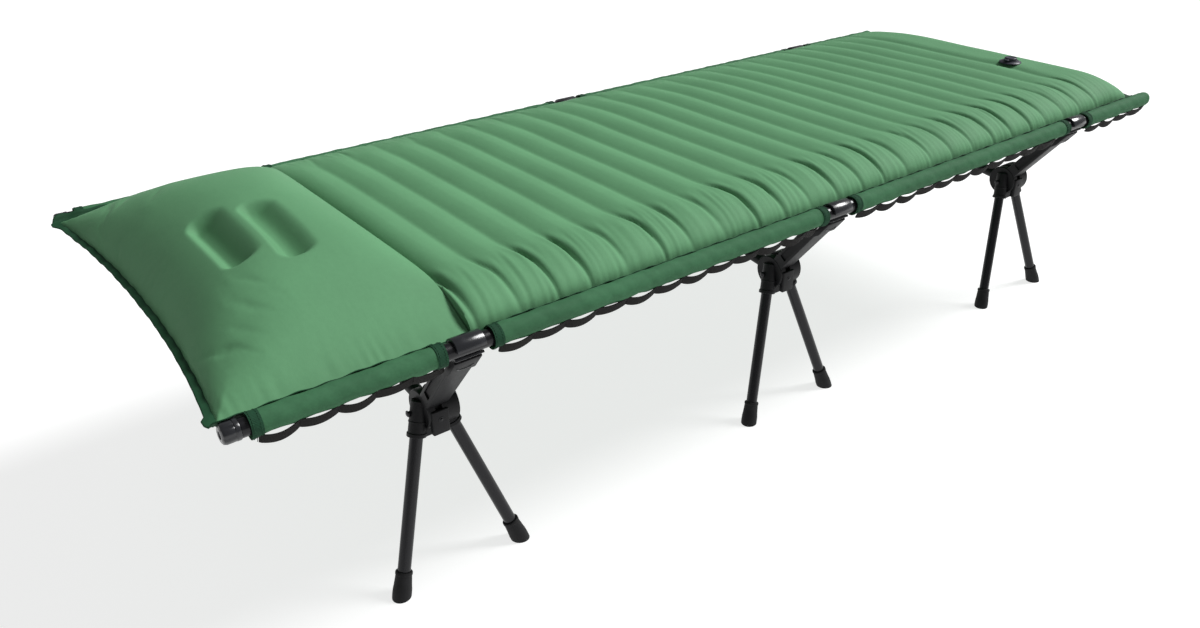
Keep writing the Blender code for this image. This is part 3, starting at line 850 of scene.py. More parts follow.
@dataclass
class AirMattress:
    """Welded air mattress: cross channels, gathered side walls and a smooth foot panel."""

    start: float = BED_SPLIT
    end: float = 0.926
    half_width: float = BED_HALF_WIDTH
    thickness: float = 0.049
    channels: int = 24
    channels_end: float = 0.780
    valley: float = 0.0062
    near: Wall = Wall(Side.NEAR, 0.104, 1.0, 1.0, 0.25)
    far: Wall = Wall(Side.FAR, 0.230, 0.3, 0.7, 0.7)
    corner: float = 0.030
    foot_taper: float = 0.085
    head_taper: float = 0.026
    crease_width: float = 0.0032
    crease_depth: float = 0.0062
    valley_round: float = 0.0030
    puff: float = 0.0022
    rim: float = 0.0085
    foot_rim: float = 0.0070
    rows: int = 700
    wall_points: int = 34
    top_points: int = 56
    seed: int = 11

    def profile(self) -> tuple[np.ndarray, np.ndarray, np.ndarray]:
        """Side angle and distance from the middle line round the section.

        Returns:
            For each point of the closed section: its wall angle (0 at the flange, a right angle on
            top), its side (-1 near, 1 far) and its signed share of the flat top.
        """
        rising = np.linspace(0, math.pi / 2, self.wall_points)
        flat = np.linspace(-1, 1, self.top_points + 2)[1:-1]
        angle = np.concatenate([rising, np.full(len(flat), math.pi / 2), rising[::-1]])
        edge = np.ones(self.wall_points)
        side = np.concatenate([-edge, np.sign(flat + 1e-9), edge])
        share = np.concatenate([-edge, flat, edge])
        return angle, side, share

    def valleys(self, x: np.ndarray, wander: np.ndarray) -> tuple[np.ndarray, np.ndarray]:
        """Distance from the nearest valley line and the channel number at each point.

        Args:
            x: rows by columns of lengthwise places.
            wander: how far the valley has moved along the cot at each point.

        Returns:
            Distances in metres and channel numbers.
        """
        pitch = (self.channels_end - self.start) / self.channels
        place = (x - wander - self.start) / pitch
        number = np.clip(np.round(place), 0, self.channels)
        return (place - number) * pitch, number

    def skin(self) -> Mesh:
        """The inflated skin as one closed mesh."""
        rng = np.random.default_rng(self.seed)
        angle, side, share = self.profile()
        x = np.linspace(self.start, self.end, self.rows)[:, None]
        inset = np.clip((x - (self.end - self.corner)) / self.corner, 0, 1)
        width = self.half_width - self.corner * 0.8 * (1 - np.sqrt(1 - inset ** 2))
        from_foot = np.clip((self.end - x) / self.foot_taper, 0, 1)
        from_head = np.clip((x - self.start) / self.head_taper, 0, 1)
        height = self.thickness * (0.07 + 0.93 * (1 - (1 - from_foot) ** 2.3) ** 0.62)
        height = height * (0.82 + 0.18 * np.sqrt(1 - (1 - from_head) ** 2))
        slope = np.where(side > 0, self.far.width, self.near.width)
        cos, sin = np.cos(angle) ** 0.97, np.sin(angle) ** 0.94
        y = np.where(np.abs(share) < 1, share * (width - slope), side * (width - slope + slope * cos))
        z = BED_BOTTOM + 0.0015 + height * sin * (1 - 0.05 * (y / self.half_width) ** 2)
        out_y, out_z = side * np.cos(angle) + 0 * x, np.sin(angle) + 0 * x
        drop = np.zeros_like(y)
        for wall in (self.near, self.far):
            mine = (side == wall.side.value)[None, :]
            drop = np.where(mine, self.sinking(wall, x, y, angle, rng), drop)
        drop = drop - self.gathers(x, y, angle, rng) - self.slack(x, y)
        keep_low = np.clip(height / self.thickness * 1.15, 0, 1)
        drop = drop * keep_low
        z = np.maximum(z - drop * out_z, BED_BOTTOM + 0.0012)
        y = y - drop * out_y
        y = np.clip(y, -self.half_width - 0.0015, self.half_width + 0.0015)
        under = np.linspace(0.995, -0.995, 14)
        low_y = under[None] * width
        y = np.concatenate([y, low_y], axis=1)
        z = np.concatenate([z, np.full_like(low_y, BED_BOTTOM)], axis=1)
        points = np.stack([x + 0 * y, y, z], axis=-1)
        run = run_along(points[self.rows // 2])
        uv = np.stack([x + 0 * y, np.repeat(run[None], self.rows, axis=0)], axis=-1)
        mesh = grid_mesh("air_mattress_skin", points, uv, closed=True, caps=True)
        return tidy(mesh, weld=False, sharp=70)

    def sinking(self, wall: Wall, x: np.ndarray, y: np.ndarray, angle: np.ndarray,
                rng: np.random.Generator) -> np.ndarray:
        """Depth of the channels' valleys and of the creases at their ends.

        Args:
            wall: the side whose channels are drawn.
            x: rows of lengthwise places.
            y: rows by columns of places across.
            angle: the wall angle of each column.
            rng: the seeded source of how the channels end.

        Returns:
            How far each point sinks, in metres; it is true on the wall's own side only.
        """
        pitch = (self.channels_end - self.start) / self.channels
        radius = (pitch ** 2 / 4 + self.valley ** 2) / (2 * self.valley)
        active = 1 - smoothstep(self.channels_end - 0.004, self.channels_end + 0.030, x)
        reach = np.abs(y)
        shifts = rng.uniform(0.006, 0.020, self.channels + 1)
        creases = rng.uniform(0.25, 1.0, self.channels + 1) ** 0.8 * wall.creasing
        smooth = np.interp(x[:, 0], self.start + pitch * np.arange(self.channels + 1), shifts)[:, None]
        wander = smooth * smoothstep(0.215, 0.290, reach) * wall.wander
        away, number = self.valleys(x + 0 * y, wander)
        eased = pitch / 2 - (np.sqrt(away ** 2 + self.valley_round ** 2) - self.valley_round)
        arc_drop = radius - np.sqrt(np.maximum(radius ** 2 - eased ** 2, 0))
        fall = np.where(angle[None] < math.pi / 2 - 1e-6, 0.15 + 0.85 * np.sin(angle[None]) ** 1.2, 1.0)
        depth = 1.0 - wall.fading * smoothstep(0.20, 0.30, reach)
        crease = np.take(creases, number.astype(int))
        narrow = np.exp(-(away / self.crease_width) ** 2) * self.crease_depth * crease
        narrow = narrow * smoothstep(0.222, 0.262, reach) * np.sin(np.clip(angle[None], 0, 1.57)) ** 0.8
        puff = self.puff * np.exp(-((np.abs(away) - 0.0085) / 0.006) ** 2) * crease
        puff = puff * smoothstep(0.21, 0.26, reach)
        return arc_drop * fall * depth * active + narrow * active - puff * fall * active

    def gathers(self, x: np.ndarray, y: np.ndarray, angle: np.ndarray,
                rng: np.random.Generator) -> np.ndarray:
        """Fine upright gathers in the side walls.

        Args:
            x: rows of lengthwise places.
            y: rows by columns of places across.
            angle: the wall angle of each column.
            rng: the seeded source of their spacing.

        Returns:
            How far each point stands out, in metres.
        """
        total = np.zeros_like(y)
        lean = (0.5 * math.pi - angle)[None] * 0.006
        for wavelength, size in ((0.0137, 0.00030), (0.0097, 0.00026), (0.0206, 0.00036), (0.0441, 0.0005)):
            phase = rng.uniform(0, 2 * math.pi)
            swell = np.sin(2 * math.pi * x / 0.171 + rng.uniform(0, 6)) * 1.4
            strength = 0.55 + 0.45 * np.sin(2 * math.pi * x / 0.113 + rng.uniform(0, 6))
            total += size * strength * np.sin(2 * math.pi * (x + lean) / wavelength + phase + swell)
        fade = smoothstep(0.225, 0.275, np.abs(y)) * (0.35 + 0.65 * np.sin(angle[None]) ** 0.6)
        return total * fade

    def slack(self, x: np.ndarray, y: np.ndarray) -> np.ndarray:
        """Broad unevenness of the top and soft creases of the smooth foot panel."""
        turn = 2 * math.pi
        broad = 0.0011 * np.sin(turn * (x * 1.3 + y * 0.9)) * np.sin(turn * (y * 1.7 - x * 0.35) + 0.8)
        panel = smoothstep(self.channels_end, self.channels_end + 0.03, x)
        fan = np.sin(46 * (x - 0.72) - 17 * np.abs(y)) * smoothstep(0.18, 0.31, np.abs(y)) * 0.0016
        from_valve = np.hypot(x - VALVE_X, y - VALVE_Y)
        ring = 0.0012 * np.sin(60 * from_valve) * np.exp(-from_valve / 0.07)
        seat = 0.0026 * np.exp(-(from_valve / 0.040) ** 2)
        return broad + panel * (fan + ring) + seat

    def flange(self) -> Mesh:
        """The welded rim that shows between the mattress and the sleeves and round the foot end."""
        corner = 0.022
        width, end = self.half_width, self.end + 0.002
        near = [(x, -width) for x in np.linspace(self.start + 0.002, end - corner, 260)]
        turn = [(end - corner + corner * math.sin(a), -width + corner - corner * math.cos(a))
                for a in np.linspace(0, math.pi / 2, 12)[1:]]
        foot = [(end, y) for y in np.linspace(-width + corner, 0, 60)[1:]]
        half = near + turn + foot
        line = np.array(half + [(x, -y) for x, y in half[-2::-1]])
        at_foot = smoothstep(self.end - 0.03, self.end, line[:, 0])
        widest = self.rim * (1 - at_foot) + self.foot_rim * at_foot
        return welded_rim("mattress_flange", line, widest, ((0.0006, 260, 0.0), (0.0005, 97, 1.0)), 0.0011)

    def build(self, finishes: Finishes) -> None:
        """Add the mattress and its flange."""
        skin = piece("air_mattress_skin", self.skin(), finishes.mattress, "deck",
                     ["air_mattress"])
        # The rim's dark finish is partly painted shade of the gap beside the sleeves.
        piece("mattress_flange", self.flange(), finishes.flange, "deck")


@dataclass
class AirPillow:
    """Welded air pillow: crowned, with a hollow head edge and two short welds across its top."""

    start: float = -0.947
    end: float = BED_SPLIT - 0.0015
    half_width: float = BED_HALF_WIDTH
    crown: float = 0.102
    hollow: float = 0.024
    head_reach: float = 0.140
    side_reach: float = 0.265
    foot_reach: float = 0.135
    foot_height: float = 0.30
    welds: tuple[float, ...] = (-0.836, -0.776)
    weld_middles: tuple[float, ...] = (-0.062, -0.090)
    weld_half: float = 0.060
    weld_width: float = 0.023
    weld_depth: float = 0.017
    weld_steep: float = 0.85
    weld_gentle: float = 1.60
    pressure: float = 4.0
    rows: int = 64
    columns: int = 118
    swell: float = 0.010
    sim_frames: int = 20
    rim: float = 0.0085
    head_rim: float = 0.0090

    def head_edge(self, y: np.ndarray) -> np.ndarray:
        """Where the head edge is at each place across."""
        return self.start + self.hollow * (1 - np.abs(y / self.half_width) ** 2.2)

    def heights(self, x: np.ndarray, y: np.ndarray) -> np.ndarray:
        """Height of the skin above its rim, before it swells."""
        head = np.maximum((x - self.head_edge(y)) / self.head_reach, 1e-4)
        side = np.maximum((self.half_width - np.abs(y)) / self.side_reach, 1e-4)
        foot = self.foot_height + (self.end - x) / self.foot_reach
        nearest = (head ** -5.0 + side ** -5.0 + foot ** -5.0) ** -0.2
        return self.crown * np.sin(np.clip(nearest, 0, 1) * math.pi / 2) ** 1.05

    def ring(self, rows: int, columns: int) -> tuple[np.ndarray, np.ndarray]:
        """Points of the skin, row by row round the section, and the places across of its top.

        Args:
            rows: how many rows lengthwise.
            columns: how many points across the top.

        Returns:
            The points, and the top's places across as a row.
        """
        across = np.sin(np.linspace(-math.pi / 2, math.pi / 2, columns)) * 0.35
        across = across + 0.65 * np.linspace(-1, 1, columns)
        y = across[None] * self.half_width
        share = np.linspace(0, 1, rows)[:, None] ** 1.15
        x = self.head_edge(y) + (self.end - self.head_edge(y)) * share
        top = BED_BOTTOM + 0.0022 + self.heights(x, y)
        low_y = y[:, ::-1][:, 1:-1]
        low_x = self.head_edge(low_y) + (self.end - self.head_edge(low_y)) * share
        xs = np.concatenate([x, low_x], axis=1)
        ys = np.repeat(np.concatenate([y, low_y], axis=1), rows, axis=0)
        zs = np.concatenate([top, np.full_like(low_x, BED_BOTTOM)], axis=1)
        return np.stack([xs, ys, zs], axis=-1), y

    def skin(self) -> Mesh:
        """The inflated skin as one closed mesh, with its welds drawn in."""
        rows, columns = 2 * self.rows, 2 * self.columns
        points, y = self.ring(rows, columns)
        uv = points[..., :2].copy()
        top = points[:, :columns]
        top += self.swelling(rows, columns)
        for weld, middle in zip(self.welds, self.weld_middles):
            beyond = np.maximum(np.abs(top[..., 1] - middle) - self.weld_half, 0)
            away = (top[..., 0] - weld) / np.where(top[..., 0] < weld, self.weld_steep, self.weld_gentle)
            reach = np.hypot(away, beyond * 1.1)
            top[..., 2] -= self.weld_depth * (1 - smoothstep(0.0015, self.weld_width, reach))
        edge = smoothstep(0.0, 0.05, self.half_width - np.abs(y))
        low = smoothstep(0.0, 0.004, top[..., 2] - BED_BOTTOM - 0.003)
        puckers = np.sin(top[..., 0] * 320 + 5 * np.sin(top[..., 0] * 41)) * np.sin(top[..., 0] * 53 + 1)
        top[..., 2] += puckers * 0.0004 * (1 - edge) * low
        return tidy(grid_mesh("air_pillow_skin", points, uv, closed=True, caps=True), weld=False, sharp=60)

    def swelling(self, rows: int, columns: int) -> np.ndarray:
        """How far a short cloth simulation moves the top; the rim and the underside are held.

        Args:
            rows: rows of the finished skin.
            columns: points across the finished skin's top.

        Returns:
            Offsets, rows by columns by 3.
        """
        points, _ = self.ring(self.rows, self.columns)
        mesh = grid_mesh("air_pillow_cloth", points, points[..., :2], closed=True, caps=True)
        obj = helper(mesh)
        rest = np.empty(len(mesh.vertices) * 3, np.float32)
        mesh.vertices.foreach_get("co", rest)
        rest = rest.reshape(-1, 3)
        held = obj.vertex_groups.new(name="held")
        low = np.nonzero((rest[:, 2] < BED_BOTTOM + 0.004) | (rest[:, 0] > self.end - 0.002))[0]
        held.add(low.tolist(), 1.0, "REPLACE")
        cloth = obj.modifiers.new("air", "CLOTH")
        cloth.settings.use_pressure = True
        cloth.settings.uniform_pressure_force = self.pressure
        cloth.settings.effector_weights.gravity = 0.0
        cloth.settings.vertex_group_mass = "held"
        cloth.settings.quality = 5
        cloth.point_cache.frame_end = self.sim_frames
        for frame in range(1, self.sim_frames + 1):
            bpy.context.scene.frame_set(frame)
        made = obj.evaluated_get(bpy.context.evaluated_depsgraph_get()).to_mesh()
        now = np.empty(rest.size, np.float32)
        made.vertices.foreach_get("co", now)
        count = self.rows * points.shape[1]
        moved = (now.reshape(-1, 3) - rest)[:count].reshape(self.rows, -1, 3)[:, :self.columns]
        size = np.linalg.norm(moved, axis=2, keepdims=True)
        LOG.info("pillow swelled by up to %.1f mm", size.max() * 1000)
        moved = moved * np.minimum(1.0, self.swell / np.maximum(size, 1e-9))
        bpy.context.scene.frame_set(1)
        bpy.data.objects.remove(obj)
        for axis, length in ((0, rows), (1, columns)):
            moved = np.moveaxis(moved, axis, 0)
            place = np.linspace(0, moved.shape[0] - 1, length)
            below = np.minimum(place.astype(int), moved.shape[0] - 2)
            share = (place - below)[:, None, None]
            moved = moved[below] * (1 - share) + moved[below + 1] * share
            moved[1:-1] = (moved[:-2] + 2 * moved[1:-1] + moved[2:]) / 4
            moved = np.moveaxis(moved, 0, axis)
        return moved

    def flange(self) -> Mesh:
        """The welded rim round the head end, with a small ear at each corner."""
        width = self.half_width
        edge = [(float(self.head_edge(np.array(y))), y) for y in np.linspace(0, -width + 0.016, 90)]
        ear = [(self.start - 0.004 + 0.012 * (1 - math.cos(a)), -width + 0.010 - 0.012 * math.sin(a))
               for a in np.linspace(0.2, math.pi / 2, 10)]
        side = [(x, -width) for x in np.linspace(self.start + 0.016, self.end - 0.002, 60)]
        half = edge + ear + side
        line = np.array([(x, -y) for x, y in half[:0:-1]] + half)
        at_head = 1 - smoothstep(self.start + 0.012, self.start + 0.05, line[:, 0])
        widest = self.rim * (1 - at_head) + self.head_rim * at_head
        return welded_rim("pillow_flange", line, widest, ((0.0008, 190, 0.0), (0.0006, 71, 2.0)), 0.0013)

    def build(self, finishes: Finishes) -> None:
        """Add the pillow and its flange."""
        skin = piece("air_pillow_skin", self.skin(), finishes.mattress, "deck", ["air_pillow"])
        # The rim's dark finish is partly painted shade of the gap beside the sleeves.
        piece("pillow_flange", self.flange(), finishes.flange, "deck")


# ---------------------------------------------------------------- cover and webbing


@dataclass
class Cover:
    """One cloth: the panel under the bed and a sleeve round each rail, cut away and bound at the clips."""

    cloth: float = 0.0009
    tape: float = 0.0008
    cut_width: float = 0.832
    row_step: float = 0.005
    seam_angle: float = 12.0
    binding_width: float = 0.012
    scallop: float = 0.050

    def breaks(self) -> list[float]:
        """Lengthwise places where the sleeves start and stop."""
        edges = [SLEEVE_START]
        for station in STATIONS:
            edges += [station - WINDOW_HALF, station + WINDOW_HALF]
        return edges + [COT_END - POCKET_END]

    def ring(self, side: Side, radius: float, count: int = 28) -> np.ndarray:
        """Section of a sleeve, from its seam under the panel round to the panel's edge."""
        angles = np.radians(np.linspace(-self.seam_angle, -360 + self.seam_angle, count))
        y = -RAIL_Y + radius * np.cos(angles)
        z = RAIL_Z + radius * np.sin(angles)
        return np.stack([-side.value * y, z], axis=-1)

    def drape(self, points: np.ndarray) -> np.ndarray:
        """Loosen the sleeves: small folds, and a hem that sags between the webbing's stitches."""
        x, y, z = points[..., 0], points[..., 1], points[..., 2]
        off_y, off_z = np.abs(y) - RAIL_Y, z - RAIL_Z
        on_sleeve = smoothstep(-0.0125, -0.006, off_y)
        angle = np.arctan2(off_z, off_y)
        folds = np.sin(x * 210 + angle * 2.0 + np.sin(x * 17) * 2) * np.sin(x * 57 + 1.3)
        folds = folds * 0.00045 + np.sin(x * 91 - angle * 3.0) * 0.0003
        sag = np.abs(np.sin(math.pi * x / self.scallop)) * 0.0018 * np.exp(-((angle + 1.35) / 0.6) ** 2)
        out = (folds + sag + 0.0004) * on_sleeve
        points[..., 1] += np.sign(y) * np.cos(angle) * out
        points[..., 2] += np.sin(angle) * out
        panel = 1 - smoothstep(0.31, 0.335, np.abs(y))
        points[..., 2] -= panel * (0.0008 + 0.0006 * np.sin(x * 23) * np.sin(y * 19))
        return points

    def sheet(self) -> tuple[Mesh, float]:
        """The cloth with its sleeves, and its flat area in square metres."""
        breaks = self.breaks()
        rows = [SLEEVE_START]
        for low, high in zip(breaks, breaks[1:]):
            rows += np.linspace(low, high, max(2, round((high - low) / self.row_step)) + 1)[1:].tolist()
        x = np.array(rows)
        near, far = self.ring(Side.NEAR, SLEEVE_RADIUS), self.ring(Side.FAR, SLEEVE_RADIUS)[::-1]
        inner = np.concatenate([[-PANEL_EDGE, -WINDOW_EDGE], np.linspace(-0.315, 0.315, 20),
                                [WINDOW_EDGE, PANEL_EDGE]])
        panel = np.stack([inner, np.full(len(inner), RAIL_Z + 0.0006)], axis=-1)
        section = np.concatenate([near, panel, far])
        points, uv = swept(x, section)
        middle_x, middle_y = (x[:-1] + x[1:]) / 2, (section[:-1, 0] + section[1:, 0]) / 2
        in_window = np.any([np.abs(middle_x - station) < WINDOW_HALF for station in STATIONS], axis=0)
        on_edge = np.abs(middle_y) > WINDOW_EDGE
        keep = ~(in_window[:, None] & on_edge[None])
        area = float((np.diff(x)[:, None] * np.diff(run_along(section))[None] * keep).sum())
        mesh = grid_mesh("cover_cloth", self.drape(points), uv, keep=keep)
        return thickened(mesh, self.cloth, 0.0), area

    def band(self, side: Side, low: float, high: float) -> Mesh:
        """A bound edge round one sleeve."""
        ring = self.ring(side, SLEEVE_RADIUS + 0.0011, 36)
        tail = [[side.value * PANEL_EDGE, RAIL_Z + 0.0016], [side.value * WINDOW_EDGE, RAIL_Z + 0.0016]]
        section = np.concatenate([ring, np.array(tail)])
        points, uv = swept(np.linspace(low, high, 6), section)
        return thickened(grid_mesh("band", self.drape(points), uv[..., ::-1]), self.tape, 0.0)

    def bound_places(self) -> list[tuple[float, float]]:
        """Lengthwise spans of the bindings round a sleeve."""
        width = self.binding_width
        spans = [(SLEEVE_START - 0.001, SLEEVE_START + width)]
        for station in STATIONS:
            spans += [(station - WINDOW_HALF - width, station - WINDOW_HALF + 0.001),
                      (station + WINDOW_HALF - 0.001, station + WINDOW_HALF + width)]
        return spans

    def bindings(self) -> Mesh:
        """All bound edges."""
        bands = []
        for side in Side:
            bands += [self.band(side, low, high) for low, high in self.bound_places()]
            for station in STATIONS:
                y = side.value * (WINDOW_EDGE + 0.0005)
                low_y, high_y = sorted((y, y - side.value * 0.008))
                bands.append(rounded_box("window_edge", (station - WINDOW_HALF, low_y, RAIL_Z - 0.0008),
                                         (station + WINDOW_HALF, high_y, RAIL_Z + 0.0010), 0.0004))
        return gathered("sleeve_bindings", bands)

    def pockets(self) -> Mesh:
        """The closed foot ends of both sleeves."""
        radius = SLEEVE_RADIUS + 0.0004
        dome = [(0, 0.0062), (radius * 0.55, 0.0058), (radius * 0.85, 0.0045), (radius, 0.0018)]
        profile = dome + [(radius, 0), (radius - 0.0012, 0), (radius * 0.8, 0.0030), (0, 0.0045)]
        place = along((COT_END - 0.0052, 0, 0), (COT_END, 0, 0))
        cup = lathe("pocket", profile, place)
        return gathered("sleeve_pockets", [placed(cup, Matrix.Translation((0, side.value * RAIL_Y, RAIL_Z)))
                                           for side in Side])

    def stitch_paths(self) -> list[np.ndarray]:
        """Lines of stitches: two round each binding and one along each sleeve's seam."""
        paths = []
        for side in Side:
            ring = self.ring(side, SLEEVE_RADIUS + 0.0019, 36)
            for low, high in self.bound_places():
                for x in (low + 0.0025, high - 0.0025):
                    path = np.concatenate([np.full((len(ring), 1), x), ring], axis=1)
                    paths.append(self.drape(path))
            seam = np.arange(SLEEVE_START + 0.01, COT_END - 0.01, 0.01)
            inside = [x for x in seam if all(abs(x - station) > WINDOW_HALF for station in STATIONS)]
            runs = np.split(np.array(inside), np.nonzero(np.diff(inside) > 0.02)[0] + 1)
            for run in runs:
                paths.append(np.stack([run, np.full(len(run), side.value * 0.3335),
                                       np.full(len(run), RAIL_Z - 0.0004)], axis=-1))
        return paths

    def build(self, finishes: Finishes) -> None:
        """Add the cloth, its bindings, pocket ends and stitching."""
        mesh, area = self.sheet()
        cloth = piece("cover_cloth", mesh, finishes.cover, "deck", ["cover"])
        trim = [piece("sleeve_bindings", self.bindings(), finishes.binding, "deck"),
                piece("sleeve_pockets", self.pockets(), finishes.cover, "deck")]
        row = StitchRow("cover_stitches", finishes.thread)
        sewn = row.sewn("cover_stitches", self.stitch_paths(), 0.0036, 0.0014, 0.00035)
        trim.append(piece("cover_stitches", sewn, finishes.thread, "deck"))
        width, length = self.cut_width, COT_END - POCKET_END - SLEEVE_START
        LOG.info("cover cut: %.3f by %.3f m, %.3f square metres", width, length, area)


@dataclass
class Webbing:
    """Daisy-chain webbing sewn at intervals below each sleeve, so that it hangs in loops."""

    pitch: float = 0.050
    half_width: float = 0.0072
    thickness: float = 0.0013
    tilt: float = math.radians(24)
    drops: tuple[float, float] = (0.0022, 0.0070)
    tack_half: float = 0.0042
    from_head: float = 0.006
    from_foot: float = 0.016
    past_clip: float = 0.008
    short_of_clip: float = 0.044
    loop_points: int = 15
    bulge: float = 0.0012
    out: float = 0.0072
    height: float = 0.3682
    seed: int = 5

    def line(self, low: float, high: float, side: Side, rng: np.random.Generator,
             hook: Point | None) -> tuple[np.ndarray, list[float]]:
        """Middle line of one run, and where it is sewn down."""
        count = max(1, round((high - low) / self.pitch))
        tacks = np.linspace(low, high, count + 1)
        drops = rng.uniform(*self.drops, count)
        rows = []
        for start, end, drop in zip(tacks, tacks[1:], drops):
            share = np.linspace(0, 1, self.loop_points)[:-1]
            sag = drop * np.sin(math.pi * share) ** 0.8
            bulge = self.bulge * np.sin(math.pi * share)
            rows += [(start + (end - start) * s, self.out + b, self.height - z)
                     for s, z, b in zip(share, sag, bulge)]
        rows.append((high, self.out, self.height))
        line = np.array(rows)
        line[:, 1] = side.value * (RAIL_Y + line[:, 1])
        if hook is not None:
            last = line[-1]
            share = np.linspace(0, 1, 12)[1:, None]
            tail = last + (np.array(hook) - last) * share
            tail[:, 2] -= 0.004 * np.sin(math.pi * share[:, 0])
            line = np.concatenate([line, tail])
        return line, tacks.tolist()

    def ribbon(self, line: np.ndarray, side: Side) -> Mesh:
        """A flat strip along a line, its face turned outward and a little down."""
        half = np.array([0, side.value * math.sin(self.tilt), math.cos(self.tilt)]) * self.half_width
        points = np.stack([line - half, line, line + half], axis=1)
        across = np.array([0, self.half_width, 2 * self.half_width])
        uv = np.stack(np.meshgrid(run_along(line), across, indexing="ij"), axis=-1)
        return thickened(grid_mesh("ribbon", points, uv), self.thickness, 0.0)

    def build(self, finishes: Finishes) -> None:
        """Add the webbing of both sides and its bar tacks."""
        row = StitchRow("bar_tacks", finishes.black_thread)
        for side in Side:
            rng = np.random.default_rng(self.seed + side.value)
            past, short = WINDOW_HALF + self.past_clip, WINDOW_HALF + self.short_of_clip
            starts = [SLEEVE_START + self.from_head] + [station + past for station in STATIONS]
            ends = [station - short for station in STATIONS] + [COT_END - self.from_foot]
            ribbons, tacks, length = [], [], 0.0
            for number, (low, high) in enumerate(zip(starts, ends)):
                hook = None if number == len(STATIONS) else LegSet(number + 1).hook_bend(side)
                line, sewn = self.line(low, high, side, rng, hook)
                length += float(np.linalg.norm(np.diff(line, axis=0), axis=1).sum())
                ribbons.append(self.ribbon(line, side))
                for x in sewn:
                    for shift in (-0.0016, 0.0, 0.0016):
                        ends_z = np.linspace(-self.tack_half, self.tack_half, 6)
                        y = side.value * (RAIL_Y + self.out + math.sin(self.tilt) * ends_z + 0.0009)
                        tacks.append(np.stack([np.full(6, x + shift), y, self.height + ends_z], axis=-1))
            strip = piece(f"webbing_loops_{side.label}", gathered("loops", ribbons), finishes.webbing, "deck",
                          [f"webbing_{side.label}"])
            sewn_down = piece(f"bar_tacks_{side.label}", row.sewn("tacks", tacks, 0.0011, 0.0005, 0.0004),
                              finishes.black_thread, "deck")


# ---------------------------------------------------------------- frame


@dataclass
class Rails:
    """Two side rails of three sections, joined by spigots, with a moulded cap at the head end."""

    start: float = -0.93
    end: float = 0.9477
    sections: int = 3
    bore: float = 0.0095
    spigot: float = 0.0092
    spigot_bore: float = 0.0080
    spigot_out: float = 0.050
    spigot_in: float = 0.030
    plug: float = 0.004
    gap: float = 0.0003
    cap_length: float = 0.020
    cap_radius: float = 0.0122
    cap_plug: float = 0.018
    flutes: int = 6
    flute_depth: float = 0.07

    def section(self, number: int, side: Side) -> Mesh:
        """One section of tube."""
        step = (self.end - self.start) / self.sections
        length = step - self.gap
        edge = 0.0004
        skin = [(RAIL_RADIUS - edge, length), (RAIL_RADIUS, length - edge), (RAIL_RADIUS, edge),
                (RAIL_RADIUS - edge, 0), (self.bore, 0)]
        if number == self.sections - 1:
            plug = length - self.plug
            profile = [(0, length)] + skin + [(self.bore, plug), (0, plug)]
        else:
            tip = length + self.spigot_out
            shoulder = length - self.spigot_in
            profile = skin + [(self.bore, shoulder), (self.spigot_bore, shoulder), (self.spigot_bore, tip),
                              (self.spigot, tip), (self.spigot, length)]
        base = Vector((self.start + number * step, side.value * RAIL_Y, RAIL_Z))
        return lathe("rail", profile, along(base, base + Vector((1, 0, 0))), 48)

    def cap(self, side: Side) -> Mesh:
        """A fluted end cap."""
        radius, length = self.cap_radius, self.cap_length
        plug = [(0, self.cap_plug), (self.spigot, self.cap_plug), (self.spigot, -self.gap)]
        shoulder = [(radius - 0.0004, -self.gap), (radius, -0.0012), (radius, -0.0050),
                    (radius - 0.0006, -0.0056), (radius - 0.0002, -0.0064)]
        face = [(radius, 0.0040), (radius - 0.0012, 0.0012), (radius - 0.0035, 0.0), (0.0050, 0.0),
                (0.0044, 0.0010), (0, 0.0010)]
        profile = plug + shoulder + [(reach, -length + height) for reach, height in face]
        mesh = lathe("end_cap", profile, Matrix(), 72)
        for vert in mesh.vertices:
            reach = math.hypot(vert.co.x, vert.co.y)
            if reach > self.spigot + 0.001 and vert.co.z < -0.006:
                wave = 0.5 + 0.5 * math.cos(self.flutes * math.atan2(vert.co.y, vert.co.x))
                share = 1 - self.flute_depth * wave ** 6
                vert.co.x *= share
                vert.co.y *= share
        base = Vector((self.start, side.value * RAIL_Y, RAIL_Z))
        mesh.transform(along(base, base + Vector((1, 0, 0))))
        return mesh

    def build(self, finishes: Finishes) -> None:
        """Add both rails and their caps."""
        for side in Side:
            for number in range(self.sections):
                node = f"rail_{side.label}_{number + 1}"
                piece(f"{node}_tube", self.section(number, side), finishes.tube, "deck", [node])
            node = f"end_cap_{side.label}"
            piece(f"{node}_fluted", self.cap(side), finishes.clip, "deck", [node])


